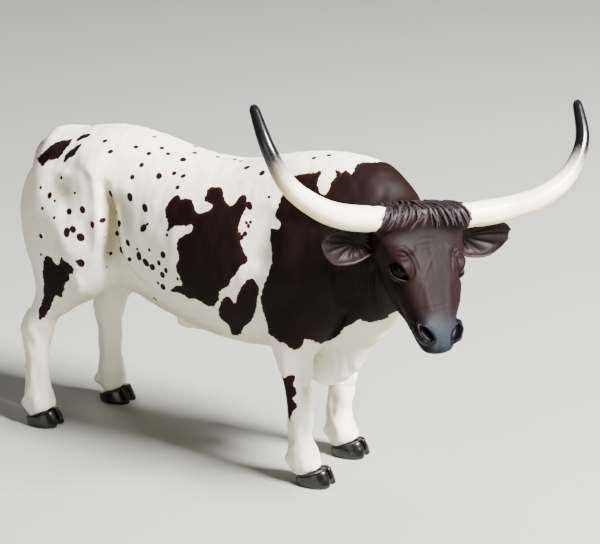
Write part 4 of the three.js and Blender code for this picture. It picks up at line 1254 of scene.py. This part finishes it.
def horn(side):
    line = smooth_line([on_head(side * x, f, z) for x, f, z in HORN_PATH], 24)
    centres, ways = along_line(line, RINGS)
    taper = smooth_line(HORN_TAPER, 8)
    t = np.linspace(0, 1, RINGS)
    past_root = np.clip((t - ROOT_END) / (1 - ROOT_END), 0, 1)
    radius = HORN_RADIUS * np.interp(past_root, taper[:, 0], taper[:, 1])
    radius *= blend_by(ramp(t, 0.02, 0.06), 0.78, 1)  # inside the head it keeps clear of the hair
    in_tip = np.clip((t - 1 + TIP_LENGTH) / TIP_LENGTH, 0, 1)
    radius *= np.sqrt(1 - in_tip ** 2)  # a round tip
    angle = np.linspace(0, 2 * math.pi, SIDES, endpoint=False)
    rings, over = [], np.array(upward, float)
    for k in range(RINGS):
        over = unit(over - ways[k] * (over @ ways[k]))
        across = np.cross(ways[k], over)
        grooves = 0.035 * np.sin(7 * angle + 3 * t[k]) * (1 - t[k]) + 0.03 * np.sin(11 * angle - 2)
        ripple = 0.06 * math.sin(90 * t[k]) * max(0, 1 - 5 * t[k])
        r = radius[k] * (1 + 0.25 * grooves + ripple)
        ring = np.outer(r * np.cos(angle), over) + np.outer(r * np.sin(angle), across)
        rings.append(centres[k] + ring)
    made = ring_mesh(f"horn_paint_{'left' if side > 0 else 'right'}", rings)
    set_attribute(made, "along", np.concatenate([np.repeat(t, SIDES), [0, 1]]))
    under = np.concatenate([np.tile(0.5 - 0.5 * np.cos(angle), RINGS), [0, 0]])
    set_attribute(made, "under", under)
    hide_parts("horn_left" if side > 0 else "horn_right")
    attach(made, "root")
    return made


horns = [horn(1), horn(-1)]
print("horns of", len(horns[0].data.polygons), "faces each")

# %% [markdown]
# ## Ears
#
# An ear is a cup of thin wall that opens forward, with tufts of hair inside, modelled as ribs
# that spread from the root. A solidify modifier would give the wall one thickness all over. Here
# it is a bent sheet with two faces, so the ribs can swell the inner one alone. It is joined to a
# stub that sinks into the head, and rounded in a small distance field of its own.

# %% Ear meshes
EAR_SIZES = [  # how far along, half height and depth of the cup
    (0, 2.4, 2.2), (0.2, 3.6, 2.8), (0.42, 4.5, 3.0), (0.68, 4.7, 2.6), (0.87, 3.5, 1.8), (1, 1.3, 0.9),
]
EAR_ROOT, EAR_TIP = (8.2, -2.4, -5.2), (24.8, -0.6, -5.4)
EAR_WALL, EAR_BLUR = 0.62, 0.13
EAR_WRAP = 1.9  # radians that the cup reaches round to each side
EAR_HOLLOW_BLUR, EAR_HOLLOW = 0.7, 0.35  # the depth that the paint takes for a full hollow
EAR_VOXEL = 0.13


def ear_sheet(side):
    """The ear's outer and inner faces as one closed mesh of quads."""
    root, tip = on_head(side * EAR_ROOT[0], *EAR_ROOT[1:]), on_head(side * EAR_TIP[0], *EAR_TIP[1:])
    along = unit(tip - root)
    opening = forward - 0.25 * upward + 0.2 * side * left
    opening = unit(opening - along * (opening @ along))
    rising = np.cross(along, opening) * side
    rising = unit(rising if rising @ upward > 0 else -rising)
    sizes, rows = smooth_line(EAR_SIZES, 12), []
    for t in np.linspace(0, 1, 72):
        half, depth = (np.interp(t, sizes[:, 0], sizes[:, k]) for k in (1, 2))
        centre = root + (tip - root) * t - rising * 1.4 * math.sin(math.pi * t)
        wall = min(EAR_WALL, 0.6 * depth)
        angle = np.linspace(-EAR_WRAP, EAR_WRAP, 64)
        outer = centre + np.outer(half * np.sin(angle), rising)
        outer -= np.outer(depth * np.cos(angle), opening)
        angle = angle * 0.93
        across, length = half * np.sin(angle), (t - 0.3) * np.linalg.norm(tip - root)
        spoke = np.arctan2(across, length)
        share = ramp(np.hypot(across, length), 0.8, 2.6) * ramp(EAR_WRAP - abs(angle), 0.05, 0.4)
        share *= ramp(1 - t, 0.0, 0.08)
        rib = 0.62 * share * (np.abs(np.sin(8.5 * spoke + 0.5 * np.sin(3 * spoke))) - 0.35)
        inner = centre + np.outer((half - wall - 0.4 * rib) * np.sin(angle), rising)
        inner -= np.outer((depth - wall - rib) * np.cos(angle), opening)
        rows.append(np.vstack([outer, inner[::-1]]))
    return np.array(rows), root, along, opening


def ear(side):
    rows, root, along, opening = ear_sheet(side)
    count, sides = rows.shape[:2]
    caps = [(b + i, b + i + 1, b + sides - 2 - i, b + sides - 1 - i)
            for b in (0, (count - 1) * sides) for i in range(sides // 2 - 1)]
    quads = np.vstack([ring_quads(count, sides), caps])
    points = rows.reshape(-1, 3)
    field = Field(points.min(0) - 4, points.max(0) + 4, EAR_VOXEL)
    field.add_solid(points, np.vstack([quads[:, [0, 1, 2]], quads[:, [0, 2, 3]]]))
    window, offset = cubes_near(field, root, 6)
    stub = [root - along * 2.4 - opening, root - opening * 0.8, root + along * 1.6 - opening * 1.8]
    field.join(window, capsule_chain(offset + root, stub, [2.2, 2.0, 1.0]))
    field.values = blurred(field.values, EAR_BLUR, EAR_VOXEL)
    points, quads = field.surface(0.0)
    name = "left" if side > 0 else "right"
    made = mesh_object(f"ear_paint_{name}", points, quads.tolist())
    wide = blurred(field.values, EAR_HOLLOW_BLUR, EAR_VOXEL)
    set_attribute(made, "hollow", np.clip(-sampled(wide, points, field) / EAR_HOLLOW, -1, 1))
    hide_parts("ear_" + name)
    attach(made, "root")
    return made


ears = [ear(1), ear(-1)]
print("ears of", len(ears[0].data.polygons), "faces each")

# %% [markdown]
# ## The hair of the poll
#
# Between the horns the real bull has a mop of short hair. The toy's is modelled as pointed locks
# that part in the middle and sweep outwards and down over the forehead. Blender's own hair would
# be far too fine for a moulded toy. Each lock here is a string of balls that shrink to a point,
# laid over the crown, and a fine distance field fuses them into one crust, as in the mould.

# %% Locks of hair
HAIR_VOXEL = 0.14
LOCK_ROWS = [  # first and last turn over the crown in degrees, locks, lift off the skin, thickness
    (20, 116, 23, -0.05, 0.42), (-4, 100, 23, 0.0, 0.42), (-18, 82, 23, 0.05, 0.4),
    (-32, 60, 21, 0.1, 0.4), (-48, 34, 21, 0.1, 0.4), (-66, 8, 21, 0.05, 0.4),
]
HAIR_RIGHT, HAIR_WIDTH = -9.8, 19.2
LEAST_REACH = 2.15  # keeps the hair closed where the skin dips


def over_crown(aside, turn, lift):
    """A place above the crown: aside from its middle, turned from straight up towards the face."""
    way = upward * math.cos(turn) + forward * math.sin(turn)
    middle = on_head(aside, -1.2, -0.4)
    hit = skin_tree.ray_cast(Vector(middle + way * 7), Vector(-way), 7)[0]
    reach = np.linalg.norm(np.array(hit) - middle) if hit else 0
    return middle + way * (max(reach, LEAST_REACH) + lift)


def lock(first, last, aside, lift, thickness):
    """A lock that sweeps outwards as it comes down over the forehead, and thins to a point."""
    sweep = math.tanh((aside + rng.normal(0, 0.8)) / 2) * (1.4 + 2.0 * rng.random()) + 0.06 * aside
    wave = rng.normal(0, 0.4)
    first, last = math.radians(first + rng.normal(0, 6)), math.radians(last + rng.normal(0, 11))
    points, radii = [], []
    for t in np.linspace(0, 1, 8):
        x = aside + sweep * t ** 1.3 + wave * math.sin(3.4 * t)
        bow = lift * (1 - 0.6 * t) + 0.22 * math.sin(math.pi * t)
        points.append(over_crown(np.clip(x, -12.8, 12.0), first + (last - first) * t, bow))
        swell = 0.6 + 0.4 * math.sin(math.pi * min(1, t * 1.6))
        radii.append(thickness * (1 - t) ** 0.5 * swell + 0.09)
    return np.array(points), radii


locks = []
for first, last, count, lift, thickness in LOCK_ROWS:
    for k in range(count):
        aside = HAIR_RIGHT + HAIR_WIDTH * (k + 0.5 + rng.normal(0, 0.3)) / count
        higher, thicker = rng.uniform(-0.3, 0.35), rng.uniform(0.8, 1.15)
        locks.append(lock(first, last, aside, lift + higher, thickness * thicker))
print(len(locks), "locks")

# %% Fuse the locks
LOCK_BLUR = 0.05
LOCK_HOLLOW_BLUR, LOCK_HOLLOW = 0.5, 0.34


def fused_locks(name, locks):
    every = np.vstack([points for points, _ in locks])
    field = Field(every.min(0) - 2, every.max(0) + 2, HAIR_VOXEL)
    for points, radii in locks:
        for a, b, ra, rb in zip(points, points[1:], radii, radii[1:]):
            window, offset = cubes_near(field, (a + b) / 2, np.linalg.norm(b - a) / 2 + 1.4)
            field.join(window, capsule_chain(offset + (a + b) / 2, [a, b], [ra, rb]))
    field.values = blurred(field.values, LOCK_BLUR, HAIR_VOXEL)
    points, quads = field.surface(0.0)
    points = kept_inside(points)
    made = mesh_object(name, points, quads.tolist())
    wide = blurred(field.values, LOCK_HOLLOW_BLUR, HAIR_VOXEL)
    set_attribute(made, "hollow", np.clip(-sampled(wide, points, field) / LOCK_HOLLOW, -1, 1))
    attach(made, "root")
    return made


hair = fused_locks("poll_hair", locks)
print("hair of", len(hair.data.polygons), "faces")

# %% [markdown]
# ## The tail's switch
#
# The tail isn't in the photograph. A longhorn's hangs to the hocks and ends in a switch of long
# hair, so the toy gets one: locks that leave the end of the dock, swell, and close to a point.
# They are made as the poll's locks are. The dock itself is part of the skin.

# %% Switch locks
TAIL_LINE = [(0.3, 46.4, 46), (0.8, 46.6, 34), (1, 47, 22), (0.6, 47.4, 12.9)]
SWITCH_SPREAD = [(0, 1.1), (0.25, 1.35), (0.55, 2.0), (0.8, 1.4), (1, 0.25)]


def switch_lock(turn, first, last):
    """One lock, turned round the dock, between two shares of the tail's length."""
    line, _ = along_line(smooth_line(TAIL_LINE, 12), 40)
    spread = smooth_line(SWITCH_SPREAD, 8)
    points, radii = [], []
    for t in np.linspace(0, 1, 12):
        place = first + (last - first) * t
        out = np.interp(place, spread[:, 0], spread[:, 1]) * (0.8 + 0.15 * math.sin(6 * place + turn))
        angle = turn + 0.5 * t + 0.2 * math.sin(5 * t + turn)
        middle = line[int(round(place * 39))]
        points.append(middle + out * np.array([math.cos(angle), 0.85 * math.sin(angle), 0]))
        radii.append(0.5 * (0.55 + 0.45 * math.sin(math.pi * t)) * (1 - t) ** 0.4 + 0.1)
    return np.array(points), radii


OUTER, INNER = 13, 9
switch_locks = []
for k in range(OUTER):
    turn = 2 * math.pi * k / OUTER + rng.normal(0, 0.15)
    switch_locks.append(switch_lock(turn, 0, rng.uniform(0.88, 1.0)))
for k in range(INNER):
    first, last = rng.uniform(0.15, 0.4), rng.uniform(0.75, 0.97)
    switch_locks.append(switch_lock(2 * math.pi * k / INNER + 0.3, first, last))
switch = fused_locks("tail_switch", switch_locks)
print("switch of", len(switch.data.polygons), "faces")

# %% [markdown]
# ## Hooves and eyes
#
# The hooves are cloven, rounded at the top and flat below. Their CAD solids have the right shape
# but hard facets, so each gets the same treatment as the skin, on finer cubes. The eyes are
# glossy balls, mostly hidden by the lids.

# %% Hooves
HOOF_VOXEL = 0.15
HOOF_BLUR, HOOF_SWELL = 0.3, 1.07  # the rounding takes a little off, and the swell gives it back


def hoof(node):
    points, triangles = solid(node)
    middle = (points.min(0) + points.max(0)) / 2 * (1, 1, 0)
    points = middle + (points - middle) * HOOF_SWELL
    field = Field(points.min(0) - 2, points.max(0) + 2, HOOF_VOXEL)
    field.add_solid(points, triangles)
    rounded = blurred(field.values, HOOF_BLUR, HOOF_VOXEL)
    field.values = np.maximum(rounded, -field.axis(2))  # flat at the floor
    points, quads = field.surface(0.0)
    made = mesh_object(node + "_paint", points, quads.tolist())
    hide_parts(node)
    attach(made, "root")
    return made


hooves = [hoof(node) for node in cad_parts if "hoof" in node]
print(len(hooves), "hooves of", len(hooves[0].data.polygons), "faces")


# %% Eyes
def eye(side):
    outward, slit, over = eye_axes(side)
    turn = side * np.linspace(0, 2 * math.pi, 56, endpoint=False)
    circle = np.outer(np.cos(turn), slit) + np.outer(np.sin(turn), over)
    rings = [painted_eye(side) + EYE_RADIUS * (circle * math.sin(polar) + outward * math.cos(polar))
             for polar in np.linspace(0.03, math.pi - 0.03, 40)]
    made = ring_mesh(f"eye_paint_{'left' if side > 0 else 'right'}", rings)
    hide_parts("eye_left" if side > 0 else "eye_right")
    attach(made, "root")
    return made


eyes = [eye(1), eye(-1)]
print("eyes made")

# %% [markdown]
# ## Paint for the horns, hair, hooves and eyes
#
# The same acrylics on PVC, with a gloss varnish on the horns, hooves and eyes. A horn is ivory
# with a yellow tint underneath, and its last third is sprayed from grey to black. Where it meets
# the head, the brown paint runs on to it with a ragged edge. Hair and ears are dark brown, with
# painted shade in their hollows and a lighter tone on the raised locks: a dry brush's, and on the
# hair a painted highlight too.

# %% Varnished ivory paint for the horns
IVORY, IVORY_SHADE, YELLOW = "#f4ecdb", "#e9dcc0", "#d6bd7c"
TIP_GREY, TIP_BLACK, ROOT_BROWN = "#6c6a64", "#0d0d0f", "#1a100e"
FADE_START, FADE_END = 0.57, 0.8  # along the horn

horn_paint, tree, shader, place, stored = start_paint("varnished ivory paint", ("along", "under"))
along, under = stored
lengthwise = add_node(tree, "ShaderNodeMapping", Vector=place, Scale=(0.25, 0.25, 0.6)).outputs[0]
mottle, ragged, streaks = (
    add_node(tree, "ShaderNodeTexNoise", Vector=where, Scale=per_mm(size), Detail=detail).outputs["Fac"]
    for where, size, detail in ((place, 2.2, 4.0), (place, 0.7, 3.0), (lengthwise, 0.5, 2.0)))
under = add_node(tree, "ShaderNodeMapRange", SMOOTH, i0=under, i1=0.35, i2=1.0, i4=0.7).outputs[0]
fade = add_node(tree, "ShaderNodeMath", TIMES_PLUS, i0=ragged, i1=0.05, i2=along).outputs[0]
fade = add_node(tree, "ShaderNodeMapRange", SMOOTH, i0=fade, i1=FADE_START, i2=FADE_END).outputs[0]
root = add_node(tree, "ShaderNodeMath", TIMES_PLUS, i0=ragged, i1=-0.05, i2=along).outputs[0]
root = add_node(tree, "ShaderNodeMapRange", i0=root, i1=0.012, i2=0.006).outputs[0]
ivory, shade, yellow, grey, black, brown = (
    hex_linear(code) for code in (IVORY, IVORY_SHADE, YELLOW, TIP_GREY, TIP_BLACK, ROOT_BROWN))
tip = add_node(tree, "ShaderNodeMix", COLOURS, i0=fade, i6=grey, i7=black).outputs[2]
paint = ivory
for share, colour in ((mottle, shade), (under, yellow), (fade, tip), (root, brown)):
    paint = add_node(tree, "ShaderNodeMix", COLOURS, i0=share, i6=paint, i7=colour).outputs[2]
tree.links.new(paint, shader.inputs["Base Color"])
shine = add_node(tree, "ShaderNodeMapRange", i0=fade, i3=0.38, i4=0.22).outputs[0]
tree.links.new(shine, shader.inputs["Roughness"])
relief = add_node(tree, "ShaderNodeBump", Height=streaks, Strength=0.3, Distance=0.06 * MM).outputs[0]
tree.links.new(relief, shader.inputs["Normal"])
for made in horns:
    made.data.materials.append(horn_paint)
print("horn paint of", len(tree.nodes), "nodes")

# %% Dry-brushed paint with painted shade for the hair and ears


def dry_brushed_and_shaded(name, deep, middle, light, roughness):
    """Dark paint with painted shade in its hollows, whose raised forms have caught a lighter one: a dry
    brush's, and on the hair a painted highlight too.
    """
    made, tree, shader, place, stored = start_paint(name, ["hollow"])
    patchy, grain = (
        add_node(tree, "ShaderNodeTexNoise", Vector=place, Scale=per_mm(size), Detail=3.0).outputs["Fac"]
        for size in (0.9, 0.45))
    height = add_node(tree, "ShaderNodeMath", TIMES_PLUS, i0=patchy, i1=-0.5, i2=stored[0]).outputs[0]
    height = add_node(tree, "ShaderNodeMapRange", i0=height, i1=-0.95, i2=0.2).outputs[0]
    colours = add_node(tree, "ShaderNodeValToRGB", Fac=height)
    stops = colours.color_ramp.elements
    stops.new(0.42)
    for stop, colour in zip(stops, (light, middle, deep)):
        stop.color = hex_linear(colour)
    tree.links.new(colours.outputs[0], shader.inputs["Base Color"])
    shader.inputs["Roughness"].default_value = roughness
    shader.inputs["Specular IOR Level"].default_value = 0.12
    relief = add_node(tree, "ShaderNodeBump", Height=grain, Strength=0.5, Distance=0.12 * MM).outputs[0]
    tree.links.new(relief, shader.inputs["Normal"])
    return made


# The olive in the switch's hollows is partly wash and partly painted shade, and the light on the hair's
# locks is partly a dry brush's and partly painted highlight.
switch.data.materials.append(dry_brushed_and_shaded("washed switch paint", "#7d7450", "#c9c1a6", "#f0eadc", 0.5))
hair.data.materials.append(dry_brushed_and_shaded("hair paint, dry-brushed, with painted shade and highlight", "#020101", "#080505", "#2e2629", 0.4))
ear_paint = dry_brushed_and_shaded("ear paint, dry-brushed, with painted shade", "#040202", "#0d0808", "#1c1314", 0.5)
for made in ears:
    made.data.materials.append(ear_paint)
print("hair and ears painted")

# %% Gloss paint for the hooves and eyes


def gloss_paint(name, colour, worn, size, roughness):
    """Near-black varnished paint, with a fine unevenness of the varnish."""
    made, tree, shader, place, _ = start_paint(name, [])
    level = add_node(tree, "ShaderNodeMapping", Vector=place, Scale=(0.3, 0.3, 1.6)).outputs[0]
    uneven = add_node(tree, "ShaderNodeTexNoise", Vector=level, Scale=per_mm(size), Detail=3.0)
    uneven = uneven.outputs["Fac"]
    paint = add_node(tree, "ShaderNodeMix", COLOURS, i0=uneven, i6=hex_linear(colour), i7=hex_linear(worn))
    tree.links.new(paint.outputs[2], shader.inputs["Base Color"])
    rougher = roughness + 0.1
    rough = add_node(tree, "ShaderNodeMapRange", i0=uneven, i1=0.3, i2=0.7, i3=roughness, i4=rougher)
    tree.links.new(rough.outputs[0], shader.inputs["Roughness"])
    relief = add_node(tree, "ShaderNodeBump", Height=uneven, Strength=0.3, Distance=0.08 * MM).outputs[0]
    tree.links.new(relief, shader.inputs["Normal"])
    return made


hoof_paint = gloss_paint("varnished black hoof paint", "#040404", "#100e0d", 1.2, 0.18)
eye_paint = gloss_paint("gloss black eye paint", "#030202", "#0a0504", 1.5, 0.12)
eye_paint.node_tree.nodes["Principled BSDF"].inputs["Specular IOR Level"].default_value = 0.08
for made in hooves:
    made.data.materials.append(hoof_paint)
for made in eyes:
    made.data.materials.append(eye_paint)
print("hooves and eyes painted")

# %% The sizes of the CAD's box and of the scene's objects
size = {"cad": [list(v) for v in cad_box], "visual": [list(v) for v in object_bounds()]}
